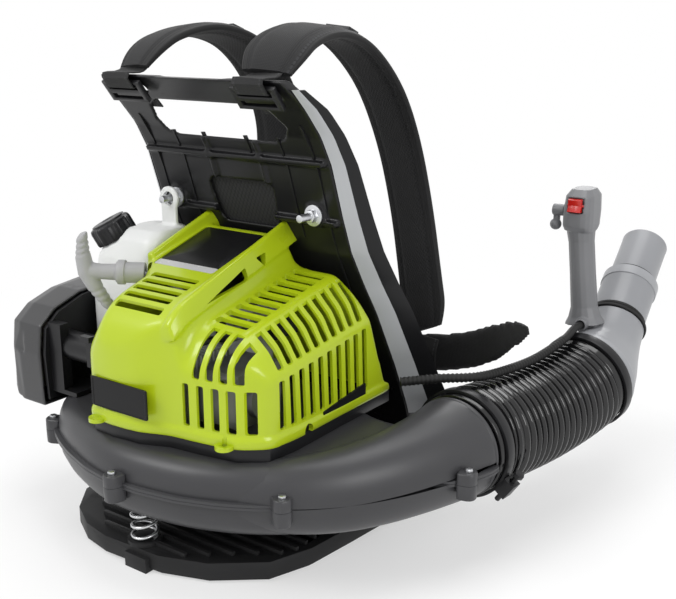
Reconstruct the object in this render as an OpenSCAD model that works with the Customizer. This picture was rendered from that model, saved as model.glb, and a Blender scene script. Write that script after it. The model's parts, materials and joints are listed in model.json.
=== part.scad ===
// Backpack leaf blower: engine-driven fan on a carrying frame.
// Millimetres. Z up, Z=0 is the rest plane of the base. X=0 is the centre plane of the frame,
// +X the wearer's right, +Y the way the wearer faces. The engine stands on the -Y side.

/* [Frame] */
frame_half_width = 128;      // front face of the backplate, half width
plate_thickness = 4;         // backplate skin
base_height = 22;            // base tray, rest plane to deck
stud_spacing = 193;          // between the two frame studs
stud_d = 8;                  // frame stud

/* [Fan] */
axis_x = 20;                 // crank and fan axis
axis_y = -25;
impeller_d = 224;            // fan wheel
blade_count = 20;            // fan wheel blades
scroll_wall = 3;             // scroll shell wall
duct_d = 106;                // outlet duct outside diameter
spigot_d = 100;              // outlet spigot that the hose slips on

/* [Engine] */
bore_d = 40;                 // cylinder bore
stroke = 33;                 // piston stroke
fin_pitch = 6;               // cooling fins
shaft_d = 16;                // crankshaft journals
shroud_wall = 2.5;           // engine shroud wall
slot_w = 7;                  // shroud ventilation slots

/* [Hose and tube] */
hose_d = 114;                // outside diameter over the ribs
rib_count = 19;              // ribs of the flexible hose
tube_d = 72;                 // air tube outside diameter
nozzle_d = 58;               // nozzle outside diameter
tube_wall = 2.5;             // air tube wall
grip_d = 31;                 // control handle shaft

/* [Harness] */
strap_w = 68;                // shoulder strap width
strap_t = 14;                // shoulder strap thickness
webbing_w = 38;              // webbing width
webbing_t = 2;               // webbing thickness

/* [Clearances] */
run_gap = 0.05;              // radial running clearance of shaft fits
soft_gap = 0.4;              // between parts that only lie side by side

/* [Hidden] */

// ---------- helpers ----------
function uni(v) = v / norm(v);
function lerp(a, b, t) = a + (b - a) * t;
function lk(t, z, i=0) = z <= t[i][0] ? t[i][1] : i + 1 >= len(t) ? t[len(t)-1][1] :
    z <= t[i+1][0] ? lerp(t[i][1], t[i+1][1], (z - t[i][0]) / (t[i+1][0] - t[i][0])) : lk(t, z, i+1);

// closed solid through rings of equal length, each counter-clockwise seen from the far end
module skin(rings) {
  n = len(rings[0]); m = len(rings);
  pts = [for (r = rings) each r];
  faces = concat([[for (i = [0:n-1]) i]],
    [for (j = [0:m-2]) for (i = [0:n-1])
      [j*n+i, (j+1)*n+i, (j+1)*n+(i+1)%n, j*n+(i+1)%n]],
    [[for (i = [n-1:-1:0]) (m-1)*n+i]]);
  tri = [for (f = faces) each (len(f) == 4 && max(f) - min(f) >= n ?
    [[f[0], f[1], f[2]], [f[0], f[2], f[3]]] : [f])];
  polyhedron(points = pts, faces = tri, convexity = 8);
}
// closed loop of rings (no end caps)
module loop_skin(rings) {
  n = len(rings[0]); m = len(rings);
  pts = [for (r = rings) each r];
  tri = [for (j = [0:m-1]) for (i = [0:n-1]) each
    [[j*n+i, ((j+1)%m)*n+i, ((j+1)%m)*n+(i+1)%n], [j*n+i, ((j+1)%m)*n+(i+1)%n, j*n+(i+1)%n]]];
  polyhedron(points = pts, faces = tri, convexity = 8);
}
function tan_at(p, i) = uni(i == 0 ? p[1]-p[0] : i == len(p)-1 ? p[i]-p[i-1] :
  uni(p[i+1]-p[i]) + uni(p[i]-p[i-1]));
// ring of profile q at point c, tangent t, up u
function ring(q, c, t, u) = let (s = uni(cross(u, t)), n = cross(t, s))
  [for (a = q) c + s*a[0] + n*a[1]];
function rnd(r, n=8, r2=0, a0=0) = [for (i = [0:n-1]) let (a = a0 + 360*i/n) [r*cos(a),
    (r2 > 0 ? r2 : r)*sin(a)]];
// padded strip section: width w, thickness t, eight points
function pad(w, t) = [[w/2, 0],[w/2-t*0.22, t*0.42],[w/5, t/2],[-w/5, t/2],[-w/2+t*0.22, t*0.42],
  [-w/2, 0],[-w/2+t*0.3, -t*0.45],[w/2-t*0.3, -t*0.45]];
module sweep(path, q, u) skin([for (i = [0:len(path)-1]) ring(q, path[i], tan_at(path, i),
    is_list(u[0]) ? u[i] : u)]);
module tube_line(path, r, n=8, u=[0,0,1]) sweep(path, rnd(r, n), u);
// straight rod from a to b
module rod(a, b, r, r2=-1, fn=24) { v = b - a; L = norm(v);
  translate(a) rotate([0, acos(v[2]/L), atan2(v[1], v[0])]) cylinder(h=L, r1=r, r2=r2 < 0 ? r : r2,
      $fn=fn); }
module place(a, v) { L = norm(v); translate(a) rotate([0, acos(v[2]/L), atan2(v[1], v[0])]) children(); }
module mirx() { children(); mirror([1,0,0]) children(); }
// spline through points p (Catmull-Rom), k steps a span
function cr(p, k=4) = let (n = len(p)) concat([for (i = [0:n-2]) for (s = [0:k-1]) let (t = s/k,
  a = p[max(i-1,0)], b = p[i], c = p[i+1], d = p[min(i+2,n-1)])
  0.5*((2*b) + (c-a)*t + (2*a-5*b+4*c-d)*t*t + (3*b-a-3*c+d)*t*t*t)], [p[n-1]]);

// ---------- shared geometry ----------
AX = [axis_x, axis_y, 0];
// front surface of the frame, Y against Z
FRONT = [[0,150],[25,148],[60,140],[113,122],[170,102],[233,76],[270,58],[307,38],[346,23],[400,5],
  [430,-12],[456,-35],[478,-58],[492,-74]];
function fy(z) = lk(FRONT, z);
// half width of the frame's front face against Z
HALF = [[20,150],[125,147],[236,135],[270,130],[307,128],[477,126],[492,112]];
// frame depth behind the front face against Z
DEPTH = [[20,52],[125,50],[236,40],[323,30],[400,28],[456,22],[492,16]];
// scroll outline at the flange, counter-clockwise from the left, mm
SCROLL = [[-186,-86],[-171,-113],[-147,-137],[-119,-153],[-90,-166],[-45,-181],[-8,-187],[32,-186],
  [78,-178],[119,-163],[152,-145],[180,-123],[202,-93],[222,-64],[240,-34],[255,-8],[272,2],
  [288,28],[294,50],[295,66],[180,66],[176,52],[160,50],[140,62],[118,82],[86,100],[48,111],[8,114],
  [-38,106],[-86,86],[-128,54],[-158,14],[-178,-26],[-187,-58]];
SC = [30, -34];
// scroll outline moved in by d towards its own normals
function inset(p, d) = [for (i = [0:len(p)-1]) let (n = len(p), a = p[(i+n-1)%n], b = p[i],
    c = p[(i+1)%n],
  e = uni(b-a), f = uni(c-b), m = uni(e+f), nr = [-m[1], m[0]], k = max(0.55, abs(e[0]*m[0]+e[1]*m[1])))
  b + nr*d/k];
function at_z(p, z) = [for (q = p) [q[0], q[1], z]];
SPLIT = 102;                 // scroll flange plane
DUCT = [237, 66, 108];       // duct centre at its end
DT = uni([0.10, 1, 0]);      // outlet direction
HOSE = cr([[240,74,108],[249,140,107],[263,205,108],[276,265,115],[285,318,125]], 5);
HOSE_END = [285, 318, 125];
HD = uni([0.16, 0.96, 0.20]); // hose end direction
TB = [286, 350, 137];        // foot of the air tube axis
TD = uni([-0.08, 0.84, 0.54]); // air tube direction
EXIT = [-60, -80, 283];      // rope exit of the shroud
PULL = uni([-0.80, -0.60, 0.04]); // pull direction

// ---------- frame ----------
module frame_solid(extra=0, front=0, lo=16, hi=492) {
  zs = [for (z = [lo:14:hi]) z];
  intersection() {
    rotate([90, 0, 90]) translate([0, 0, -200]) linear_extrude(400)
      polygon(concat([for (z = zs) [fy(z)+front, z]],
        [for (i = [len(zs)-1:-1:0]) [fy(zs[i]) + lk(DEPTH, zs[i]) + extra, zs[i]]]));
    rotate([90, 0, 0]) translate([0, 0, -240]) linear_extrude(440)
      polygon(concat([for (z = zs) [lk(HALF, z)+front*-0.9, z]],
        [for (i = [len(zs)-1:-1:0]) [-lk(HALF, zs[i])-front*-0.9, zs[i]]]));
  }
}
module back_frame() color([0.13,0.13,0.14]) difference() {
  union() {
    difference() { frame_solid(lo=22, hi=486); frame_solid(extra=20, front=plate_thickness, lo=17,
        hi=479); }
    // stiffening ribs on the front face
    for (z = [401, 338]) intersection() {
      translate([-122, -120, z-3]) cube([244, 300, 6]);
      frame_solid(extra=-25, front=-7, hi=442); }
    for (x = [-29, 41]) intersection() {
      translate([x-3, -120, 374]) cube([5, 300, 50]);
      frame_solid(extra=-24, front=-5, hi=442); }
    // stud bosses behind the skin
    mirx() translate([stud_spacing/2, fy(346)-5, 346]) rotate([-90,0,0]) cylinder(h=22, r=13, $fn=32);
    // lugs of the lower webbing, on the side walls
    mirx() translate([104, 172, 42]) cube([42.5, 22.2, 14]);
    // cross bars behind the pad
    for (z = [122, 286]) translate([-142, fy(z)+lk(DEPTH, z)-5.8, z]) rotate([0,90,0]) cylinder(h=284,
        r=5, $fn=32);
  }
  // grip hole, rounded
  translate([0, 60, 441]) rotate([90,0,0]) linear_extrude(200) difference() {
    polygon([[-86,-4],[-80,12],[-66,18],[66,18],[80,12],[90,-4],[80,-16],[66,-20],[-66,-20],[-80,-16]]);
  }
  // lower opening
  translate([0, 120, 0]) rotate([90,0,0]) linear_extrude(200)
    polygon([[-34,325],[-40,332],[-44,368],[-38,375],[38,375],[44,368],[40,332],[34,325]]);
  // webbing slots of the ears
  mirx() translate([68, -140, 466]) cube([40, 200, 8]);
  // top notch between the ears
  translate([-45, -140, 483]) cube([90, 200, 20]);
  // stud holes
  mirx() translate([stud_spacing/2, 0, 346]) rotate([-90,0,0]) cylinder(h=60, r=stud_d/2+0.1, $fn=32);
}
BASE = [[150,-60],[157,0],[163,60],[166,108],[164,190],[150,204],[-150,204],[-164,190],[-166,108],
  [-163,60],[-157,0],[-150,-60],
  [-140,-104],[-112,-138],[-76,-158],[-40,-165],[34,-162],[85,-144],[133,-106]];
module base_plate() color([0.12,0.12,0.13]) difference() {
  union() {
    difference() {
      union() {
        translate([0,0,4]) linear_extrude(base_height-4) polygon(BASE);
        linear_extrude(4) polygon(inset(BASE, 5));
      }
      // hollow from below
      translate([0,0,-1]) linear_extrude(base_height-3) polygon(inset(BASE, 11));
    }
    // foot at the front
    translate([-8,-168,0]) cube([30,14,16]);
    // cross walls under the deck
    for (x = [-90,-30,30,90]) translate([x-2,-130,0]) cube([4,326,base_height-3]);
    for (q = [[-80,137],[0,149],[80,156],[142,156]]) translate([-q[1],q[0]-2,0])
        cube([2*q[1],4,base_height-3]);
    // deck ribs
    for (i = [0:17]) let (y = -149 + i*15, w = min(141, 57 + (y+150)*1.25))
      translate([-w, y, base_height-1]) cube([2*w, 4, 5]);
    // spring seats
    for (p = SPRINGS) translate([p[0],p[1],base_height-1]) cylinder(h=5.02, r=18, $fn=40);
    for (p = SPRINGS) translate([p[0],p[1],base_height+2]) cylinder(h=6, r=9.5, $fn=32);
  }
}
SPRINGS = [[0,-146],[-104,52],[104,52]];
module side_trim(s) color([0.62,0.63,0.65]) {
  zs = concat([for (i = [0:13]) 106 + i*28], [477]);
  skin([for (z = zs) let (w = lk(HALF, z), y = fy(z),
      d = lk([[110,40],[236,30],[323,24],[456,18],[480,10]], z),
      q = lk([[110,34],[166,30],[238,28],[323,24],[456,15],[480,7]], z))
    s > 0 ? [[w+0.7,y+1,z],[w+q,y+d,z],[w+q-4,y+d+3,z],[w+0.7,y+5.5,z]]
          : [[-w-0.7,y+5.5,z],[-w-q+4,y+d+3,z],[-w-q,y+d,z],[-w-0.7,y+1,z]]]);
}
module side_trim_right() side_trim(1);
module side_trim_left() side_trim(-1);
module mesh_panel() color([0.09,0.09,0.1]) skin([for (z = [313,330,347,366,387]) let (y =
    fy(z)+plate_thickness)
  [[56,y+1.4,z],[56,y+3,z],[-56,y+3,z],[-56,y+1.4,z]]]);
module frame_bolts() color([0.72,0.73,0.75]) mirx() translate([stud_spacing/2, fy(346),
    346]) rotate([90,0,0]) {
  translate([0,0,5.1]) cylinder(h=2.4, r=11, $fn=40);
  translate([0,0,-12]) cylinder(h=42, r=stud_d/2, $fn=32);
  translate([0,0,7.5]) cylinder(h=6.5, r=7, $fn=6);
}
// ---------- harness ----------
STRAP = cr([[90,-52,462],[89,-44,490],[85,-10,517],[80,48,527],[77,108,511],[80,160,466],[86,192,402],
  [101,198,328],[124,182,256],[146,162,198]], 3);
STRAP_UP = [for (i = [0:len(STRAP)-1]) let (t = tan_at(STRAP, i)) uni(cross(t,
    cross([0.0,0,0] + (STRAP[i] - [60,40,330]), t)))];
module strap(s) mirror([s < 0 ? 1 : 0,0,0]) skin([for (i = [3:len(STRAP)-1])
  let (k = min(1, (i-2)/4, (len(STRAP)-i)/3))
  ring(pad(strap_w*(0.62+0.38*k), strap_t*(0.5+0.5*k)), STRAP[i], tan_at(STRAP, i), STRAP_UP[i])]);
module shoulder_strap_right() color([0.10,0.10,0.11]) strap(1);
module shoulder_strap_left() color([0.10,0.10,0.11]) strap(-1);
// point in the plane of the ear buckle, y off the plate, z along it
BUCKLE_TILT = 38;
function bk(y, z) = [88, fy(470)-7 + y*cos(BUCKLE_TILT) - z*sin(BUCKLE_TILT),
  468 + y*sin(BUCKLE_TILT) + z*cos(BUCKLE_TILT)];
module webbing(s) mirror([s < 0 ? 1 : 0,0,0]) {
  w = webbing_w/2;
  // from the lower end of the strap to the lug of the frame
  sweep(cr([[146,159.5,190.5],[144,156,172],[139,166.5,141],[134,177,118],[128,188.5,84],[125,194,64],
    [125,195.3,54],[125,195.3,44]],3),
    [[w,-1],[w,1],[-w,1],[-w,-1]], [0,1,0.2]);
  // from the upper end of the strap over the ear and through the buckle
  sweep([[89,-44.5,489.3],[89,-48,487.4],[89,-54,486.2],[88.5,-64,486.2],[88,-70.5,486],
    bk(-4.2,20),bk(-4.2,7.6),
    bk(-3.2,6.5),bk(2.2,5.5),bk(3.2,4.4),bk(3.2,-1),[88,-49.6,466.9],[88,-42,466.9],[88,-39.5,465.6],
    [88,-31.2,457.5],[88,-24.2,450]], [[0.8,-w],[0.8,w],[-0.8,w],[-0.8,-w]], [1,0,0]);
}
module webbing_right() color([0.08,0.08,0.09]) webbing(1);
module webbing_left() color([0.08,0.08,0.09]) webbing(-1);
module ear_buckles() color([0.09,0.09,0.1]) mirx() translate(bk(0,
    0)) rotate([BUCKLE_TILT,0,0]) difference() {
  translate([-27,-3,-13]) cube([54, 5, 26]);
  for (z = [-9, 3]) translate([-21,-5,z]) cube([42, 10, 6]);
}
// block square to the strap at point i of its path, from a to b along it and h0 to h1 off its middle
module on_strap(i, w, h0, h1, a, b) skin([for (k = [a, b]) ring([[w,h0],[w,h1],[-w,h1],[-w,h0]],
  STRAP[i] + tan_at(STRAP, i)*k, tan_at(STRAP, i), STRAP_UP[i])]);
module strap_sliders() color([0.09,0.09,0.1]) mirx() difference() {
  on_strap(11, 15, strap_t/2+0.1, strap_t/2+4, -9, 9);
  for (k = [-6, 2]) on_strap(11, 11, strap_t/2-2, strap_t/2+6, k, k+4);
}
module back_pad() color([0.11,0.11,0.12]) skin([for (i = [0:9]) let (z = 84 + i*25.5,
    e = (i == 0 || i == 9) ? 0.55 : 1,
    y = fy(z) + lk(DEPTH, z) + 10.7, w = 96*(i == 0 || i == 9 ? 0.9 : 1), t = 11*e)
  [[w,y-t*0.3,z],[w*0.96,y+t*0.7,z],[w*0.6,y+t,z],[w*0.28,y+t*0.55,z],[-w*0.28,y+t*0.55,z],[-w*0.6,y+t,z],
   [-w*0.96,y+t*0.7,z],[-w,y-t*0.3,z],[-w*0.9,y-t*0.95,z],[w*0.9,y-t*0.95,z]]]);
LUMB = cr([[-286,134,228],[-262,156,216],[-225,179,192],[-180,186,172],[-120,182.5,160],[-40,182.5,158],
  [40,182.5,158],[120,182.5,160],[180,186,172],[225,179,192],[262,156,216],[286,134,228]], 2);
module lumbar_pad() color([0.09,0.09,0.1]) skin([for (i = [0:len(LUMB)-1]) let (a = abs(LUMB[i][0]),
    h = lk([[0,79],[90,77],[125,60],[160,56],[225,44],[262,32],[286,16]], a),
        t = lk([[0,15],[200,14],[285,7]], a))
  ring(pad(h, t), LUMB[i], tan_at(LUMB, i), [LUMB[i][0]*0.0035, 1, 0.46])]);
module isolator_springs() color([0.75,0.75,0.77]) for (p = SPRINGS)
  skin([for (i = [0:COIL_N]) let (a = i*360/8, t = uni([-sin(a), cos(a), 0.06]))
    ring(rnd(coil_w, 6), [p[0], p[1], 0] + coil(i), t, [0,0,1])]);
COIL_N = 32;                 // eight rings a turn, four turns
coil_w = 1.7;
COIL_Z = [base_height+4, 61.9];
function coil(i) = [13*cos(i*45), 13*sin(i*45),
  lerp(COIL_Z[0]+coil_w, COIL_Z[1]-coil_w, lk([[0,0],[0.2,0.05],[0.8,0.95],[1,1]], i/COIL_N))];
echo(least_gap_between_turns_mm = min([for (i = [0:COIL_N-5]) for (j = [i+5:COIL_N])
    norm(coil(i)-coil(j))]) - 2*coil_w);
// ---------- fan housing ----------
// outline of the shell, and the one 31 mm further in that its floor and roof draw in to
FORM = [[-186,-86],[-171,-113],[-147,-137],[-119,-153],[-90,-166],[-45,-181],[-8,-187],[32,-186],
  [78,-178],[119,-163],[152,-145],[180,-123],[202,-93],[222,-64],[240,-34],[255,-8],[267,18],[275,36],
  [272,50],[258,58],[232,58],[200,54],[168,54],[140,64],[118,82],[86,100],[48,111],[8,114],[-38,106],
  [-86,86],[-128,54],[-158,14],[-178,-26],[-187,-58]];
INNER = [[-155,-77],[-146,-94],[-128,-112],[-105,-125],[-79,-137],[-38,-151],[-6,-156],[29,-155],
  [70,-148],[106,-135],[135,-119],[158,-101],[177,-75],[196,-47],[213,-18],[225,-2],[232,8],[236,15],
  [237,21],[233,26],[222,27],[202,23],[163,23],[125,37],[100,56],[74,71],[42,80],[10,83],[-29,76],
  [-70,59],[-106,32],[-132,-2],[-149,-37],[-156,-62]];
function scroll_rings(t) = [for (q = t) [for (i = [0:len(FORM)-1]) let (p = lerp(FORM[i], INNER[i],
    q[1]/31))
  [p[0], p[1], q[0]]]];
module scroll_out() {
  skin(scroll_rings([[62,30],[65,19],[74,10],[88,6],[112,6],[124,9],[132,16],[136,27]]));
  duct_form(0);
}
module scroll_in() {
  skin(scroll_rings([[65,31],[68,21],[76,13],[88,9],[112,9],[122,12],[129,18],[133,28]]));
  duct_form(scroll_wall);
}
DF = [[120,-128,100],[160,-103,101],[190,-70,102],[211,-32,104],[225,6,106],[233,38,107.5]];
module duct_form(d) { p = concat(DF, [DUCT-DT*2, DUCT+DT*(2+d)]);
    skin([for (i = [0:len(p)-1]) let (s = min(1, i/6))
  ring(rnd(lerp(26, 53, s)-d, 24, lerp(33, 53, pow(s, 0.8))-d), p[i], i > 5 ? DT : tan_at(p, i),
      [0,0,1])]); }
module flange(z0) {
  translate([0,0,z0]) linear_extrude(3) polygon(SCROLL);
  for (b = BOSSES) translate([b[0], b[1],
      z0 < SPLIT ? SPLIT-16 : SPLIT]) cylinder(h=z0 < SPLIT ? 16 : 12, r=8, $fn=24);
}
module screw_holes() for (b = BOSSES) translate([b[0], b[1], SPLIT-20]) cylinder(h=40, r=2.1, $fn=20);
BOSSES = [[-156,-129],[6,-190],[172,-133],[284.5,17],[150,62],[50,108.4],[-72,96],[-150,28],[-187,-72]];
module spigot() place(DUCT, DT) difference() {
  union() { translate([0,0,-1]) cylinder(h=8, r=duct_d/2+0.7, $fn=64); cylinder(h=36, r=spigot_d/2,
      $fn=64); }
  translate([0,0,-4]) cylinder(h=50, r=spigot_d/2-3, $fn=64);
}
module volute_lower() color([0.20,0.20,0.21]) intersection() {
  translate([-300,-300,40]) cube([700, 700, SPLIT-40]);
  union() {
    difference() {
      union() {
        scroll_out();
        flange(SPLIT-3);
        for (p = SPRINGS) translate([p[0], p[1], 61.7]) cylinder(h=24, r=16, $fn=32);
      }
      scroll_in();
      screw_holes();
      translate([axis_x, axis_y, 50]) cylinder(h=20, r=60, $fn=64);
    }
    spigot();
    // inlet guard
    translate([axis_x, axis_y, 62.4]) {
      for (r = [20, 41]) difference() { cylinder(h=2.2, r=r, $fn=40); translate([0,0,-1]) cylinder(h=5,
          r=r-3, $fn=40); }
      for (a = [15:60:315]) rotate(a) translate([17.5, -1.5, 0.1]) cube([44.5, 3, 2]);
    }
  }
}
module volute_upper() color([0.20,0.20,0.21]) intersection() {
  translate([-300,-300,SPLIT]) cube([700, 700, 100]);
  union() {
    difference() {
      union() { scroll_out(); flange(SPLIT); }
      scroll_in();
      screw_holes();
      translate([axis_x, axis_y, 120]) cylinder(h=30, r=13, $fn=48);
    }
    spigot();
  }
}
module flange_screws() color([0.55,0.56,0.58]) for (b = BOSSES) translate([b[0], b[1], SPLIT-14]) {
  cylinder(h=26, r=2, $fn=20); translate([0,0,26]) cylinder(h=3, r=4, $fn=6); }
// ---------- engine collar and shroud ----------
S0 = [[-62,84],[-62,-60],[-61,-148],[-52,-160],[-22,-163],[14,-160],[44,-148],[80,-144],[120,-137],
  [146,-117],
  [150,-78],[149,-10],[150,84]];
module engine_collar() color([0.16,0.16,0.17]) difference() {
  translate([0,0,136.1]) linear_extrude(13.8) polygon(inset(S0, 1.5));
  translate([0,0,130]) linear_extrude(30) polygon(inset(S0, 5));
}
function zc(y) = 264 + (y+172)*0.296;   // raised centre
function zr(y) = 242 + (y+172)*0.208;   // right shoulder
function zl(y) = 209 + (y+172)*0.125;   // right ledge
function sec(y,
    d) = [for (q = [[-66+d,140],[-66+d,zc(y)-12],[-58+d*0.7,zc(y)-d],[49-d*0.6,zc(y)-d],[58-d,zc(y)-14],
  [62-d,zr(y)+5-d],[70-d,zr(y)+1-d],[112-d*0.6,zr(y)-d],[133-d,lerp(zr(y),zl(y),0.45)-d*0.6],
  [147-d,zl(y)],[151-d,140]])
  [q[0], y, q[1]]];
module shroud_form(d, zb) difference() {
  intersection() {
    translate([0,0,zb]) linear_extrude(220) polygon(inset(S0, d));
    skin([sec(-178, d), sec(95, d)]);
  }
  rotate([90,0,90]) translate([0,0,-200]) linear_extrude(500)
    polygon([[86-d,130],[23-d,322],[23-d,400],[200,400],[200,130]]);
}
module shroud() color([0.76,0.83,0.15]) difference() {
  union() {
    difference() { shroud_form(0, 150); shroud_form(shroud_wall, 140); }
    // screw ears on the lower edge
    for (p = [[110,-139],[-40,-161]]) translate([p[0],p[1]-3,150]) intersection() {
      cylinder(h=4, r=9, $fn=32); translate([-10,-10,0]) cube([20, 12.6, 5]); }
  }
  // top slots of the raised part
  for (i = [0:4]) translate([-50, -150+i*18, zc(-150+i*18)-14]) cube([66, slot_w+1, 40]);
  // slots of the right shoulder top
  for (i = [0:8]) translate([68, -102+i*14.5, zr(-102+i*14.5)-16]) cube([38, slot_w, 40]);
  // right side, two rows
  for (i = [0:10]) translate([112, -104+i*15, 164]) cube([60, slot_w-1, zl(-104+i*15)-170]);
  for (i = [0:9]) let (y = -100+i*14) translate([119, y, zl(y)+5]) cube([60, slot_w, zr(y)-zl(y)-9]);
  // front right corner, two rows
  for (i = [0:4]) translate([54+i*15, -180, 164]) cube([slot_w, 60, 42]);
  for (i = [0:3]) translate([60+i*14, -180, 216]) cube([slot_w, 62, 18]);
  // recess of the front plate
  translate([-48, -170, 164]) rotate([0,0,0]) cube([82, 8.4, 34]);
  // service hole and round-topped notch of the lower edge
  translate([140, -70, 152]) rotate([0,90,0]) cylinder(h=20, r=6, $fn=24);
  translate([110,-142,140]) cylinder(h=30, r=3, $fn=24);
  // rope exit and intake opening on the left
  place(EXIT-PULL*14, PULL) cylinder(h=40, r=11.5, $fn=40);
  translate([-80,-122,150]) cube([30, 66, 72]);
  // recess of the top plate
  multmatrix([[1,0,0,0],[0,1,0,0],[0,0.296,1,0],[0,0,0,1]]) translate([-48, -42, 314.4-1.5]) cube([84,
      56, 20]);
}
module badge_plates() color([0.22,0.22,0.23]) {
  translate([-47.5, -164, 164.5]) difference() { cube([81, 1.4, 33]); }
  multmatrix([[1,0,0,0],[0,1,0,0],[0,0.296,1,0],[0,0,0,1]]) translate([-47.5, -41.5, 312.95]) cube([83,
      55, 1.4]);
}
// ---------- engine ----------
module crankcase() color([0.60,0.61,0.62]) translate(AX) difference() {
  union() {
    translate([0,0,136.1]) cylinder(h=5, r=36, $fn=48);
    translate([0,0,141]) cylinder(h=14, r=24, $fn=48);
    translate([0,0,154]) cylinder(h=72, r=42, $fn=64);
    translate([-34,-43,156]) cube([68, 30, 68]);
  }
  translate([0,0,163]) cylinder(h=54, r=33.5, $fn=64);
  translate([0,0,154.4]) cylinder(h=8.7, r=17, $fn=48);
  translate([0,0,217.4-0.5]) cylinder(h=8.7, r=17, $fn=48);
  translate([0,0,130]) cylinder(h=110, r=9, $fn=48);
  translate([0,-10,190]) rotate([90,0,0]) cylinder(h=40, r=22, $fn=64);
}
module main_bearings() color([0.75,0.76,0.78]) for (z = [154.5, 217.5]) translate([axis_x, axis_y,
    z]) difference() {
  cylinder(h=8, r=16.95, $fn=48); translate([0,0,-1]) cylinder(h=10, r=shaft_d/2+run_gap, $fn=48); }
module cylinder_body() translate([axis_x, -68.1, 190]) rotate([90,0,0]) difference() {
  union() {
    cylinder(h=53, r=25.5, $fn=64);
    for (i = [0:9]) translate([-38,-34,3+i*fin_pitch]) cube([76, 68, 2.2]);
    translate([-30,-30,0]) cube([60, 60, 3]);
    // exhaust and intake ports
    translate([0,-14,18]) cube([39.5, 26, 26]);
    translate([-39.5,-14,14]) cube([39, 26, 26]);
    translate([0,0,53]) cylinder(h=8, r=11, $fn=32);
  }
  translate([0,0,-1]) cylinder(h=47, r=bore_d/2, $fn=64);
  translate([0,-1,31]) rotate([0,90,0]) cylinder(h=60, r=9.5, $fn=32);
  translate([0,-1,27]) rotate([0,-90,0]) cylinder(h=60, r=9, $fn=32);
  translate([0,0,40]) cylinder(h=30, r=5, $fn=32);
}
module cylinder_node() color([0.66,0.67,0.68]) cylinder_body();
module spark_plug() color([0.85,0.85,0.84]) translate([axis_x, -129.2, 190]) rotate([90,0,0]) {
  translate([0,0,-14]) cylinder(h=14, r=4.8, $fn=32);
  cylinder(h=6, r=8, $fn=6);
  translate([0,0,6]) cylinder(h=6, r=5, $fn=32);
}
module ignition_coil() color([0.12,0.12,0.13]) {
  // coil block beside the flywheel
  translate([76,-44,228]) difference() { cube([18, 36, 18]); translate([-1,10,-1]) cube([7, 16, 20]); }
  // lead and plug cap
  sweep(cr([[85,-42,240],[84,-72,246],[66,-112,240],[36,-141,222],[21,-148.5,204]],4), rnd(3,8),
      [0.2,0.2,1]);
  translate([axis_x,-140.2,190]) rotate([90,0,0]) difference() {
    union() { cylinder(h=10, r=9.5, $fn=32); translate([-7,0,0.5]) cube([14, 20, 9]); }
    translate([0,0,-1]) cylinder(h=6.2, r=9.4, $fn=32);
  }
}
module intake_manifold() color([0.10,0.10,0.11]) difference() {
  translate([-62,-94,189]) rotate([0,90,0]) union() { cylinder(h=42.2, r=13, $fn=32); cylinder(h=4,
      r=18, $fn=32);
    translate([0,0,38]) cylinder(h=4.2, r=12.9, $fn=32); }
  translate([-70,-94,189]) rotate([0,90,0]) cylinder(h=60, r=9, $fn=32);
}
module carburettor() color([0.68,0.69,0.70]) difference() {
  union() {
    translate([-102,-112,172]) cube([40, 36, 36]);
    translate([-91,-88,208]) cylinder(h=6, r=8, $fn=32);
    translate([-82,-94,164]) cylinder(h=8, r=11, $fn=32);
  }
  translate([-110,-94,189]) rotate([0,90,0]) cylinder(h=60, r=9, $fn=32);
  translate([-74,-104,190]) cylinder(h=40, r=2.55, $fn=24);
  translate([-94,-130,189]) rotate([-90,0,0]) cylinder(h=26, r=2.05, $fn=24);
}
module throttle_arm() color([0.72,0.73,0.74]) translate([-74,-104,0]) difference() {
  union() { translate([0,0,196]) cylinder(h=26, r=2.5, $fn=24); translate([0,0,208.4]) cylinder(h=2.2,
      r=7, $fn=24);
    translate([-3,-16,208.4]) cube([6, 16, 2.2]); }
  translate([0,-12.6,200]) cylinder(h=20, r=1.4, $fn=16);
}
module choke_lever() color([0.10,0.10,0.11]) translate([-94,0,189]) {
  translate([0,-121,0]) rotate([-90,0,0]) cylinder(h=16, r=2, $fn=24);
  translate([-5,-124,-6]) cube([10, 3, 34]);
  translate([-7,-130,24]) cube([14, 7, 6]);
}
module filter_base() color([0.09,0.09,0.10]) difference() {
  union() {
    rotate([90,0,90]) translate([0,0,-178.6]) linear_extrude(4)
      polygon([[-117,127],[-119,180],[-115,209],[-96,225],[-60,237],[-8,241],[-4,127]]);
    translate([-175,-94,189]) rotate([0,90,0]) cylinder(h=72.8, r=16, $fn=32);
    translate([-175,-112,136.2]) cube([20, 12, 80]);
    translate([-175,-70,136.2]) cube([30, 10, 56]);
    // foot on the scroll
    translate([-175,-112,136.2]) cube([40, 52, 5]);
  }
  translate([-190,-94,189]) rotate([0,90,0]) cylinder(h=120, r=12, $fn=32);
  translate([-190,-94,189]) rotate([0,90,0]) cylinder(h=12, r=12, $fn=32);
  translate([-174,-60,0]) cube([80,60,125]);
}
module air_filter() color([0.30,0.29,0.26]) translate([-196,-108,136]) difference() {
  cube([17, 92, 76]);
  for (i = [0:8]) translate([-1, 5+i*10, 4]) cube([8, 4, 68]);
}
AB = [[-121,119],[-123,180],[-119,212],[-98,229],[-61,241],[-6,245],[-1,238],[-1,119]];
function ab(d, x) = [for (p = [for (i = [0:7]) AB[i]]) let (c = [-62, 190], v = c - p) [x,
    p[0] + uni(v)[0]*d*1.3, p[1] + uni(v)[1]*d*1.3]];
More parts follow.
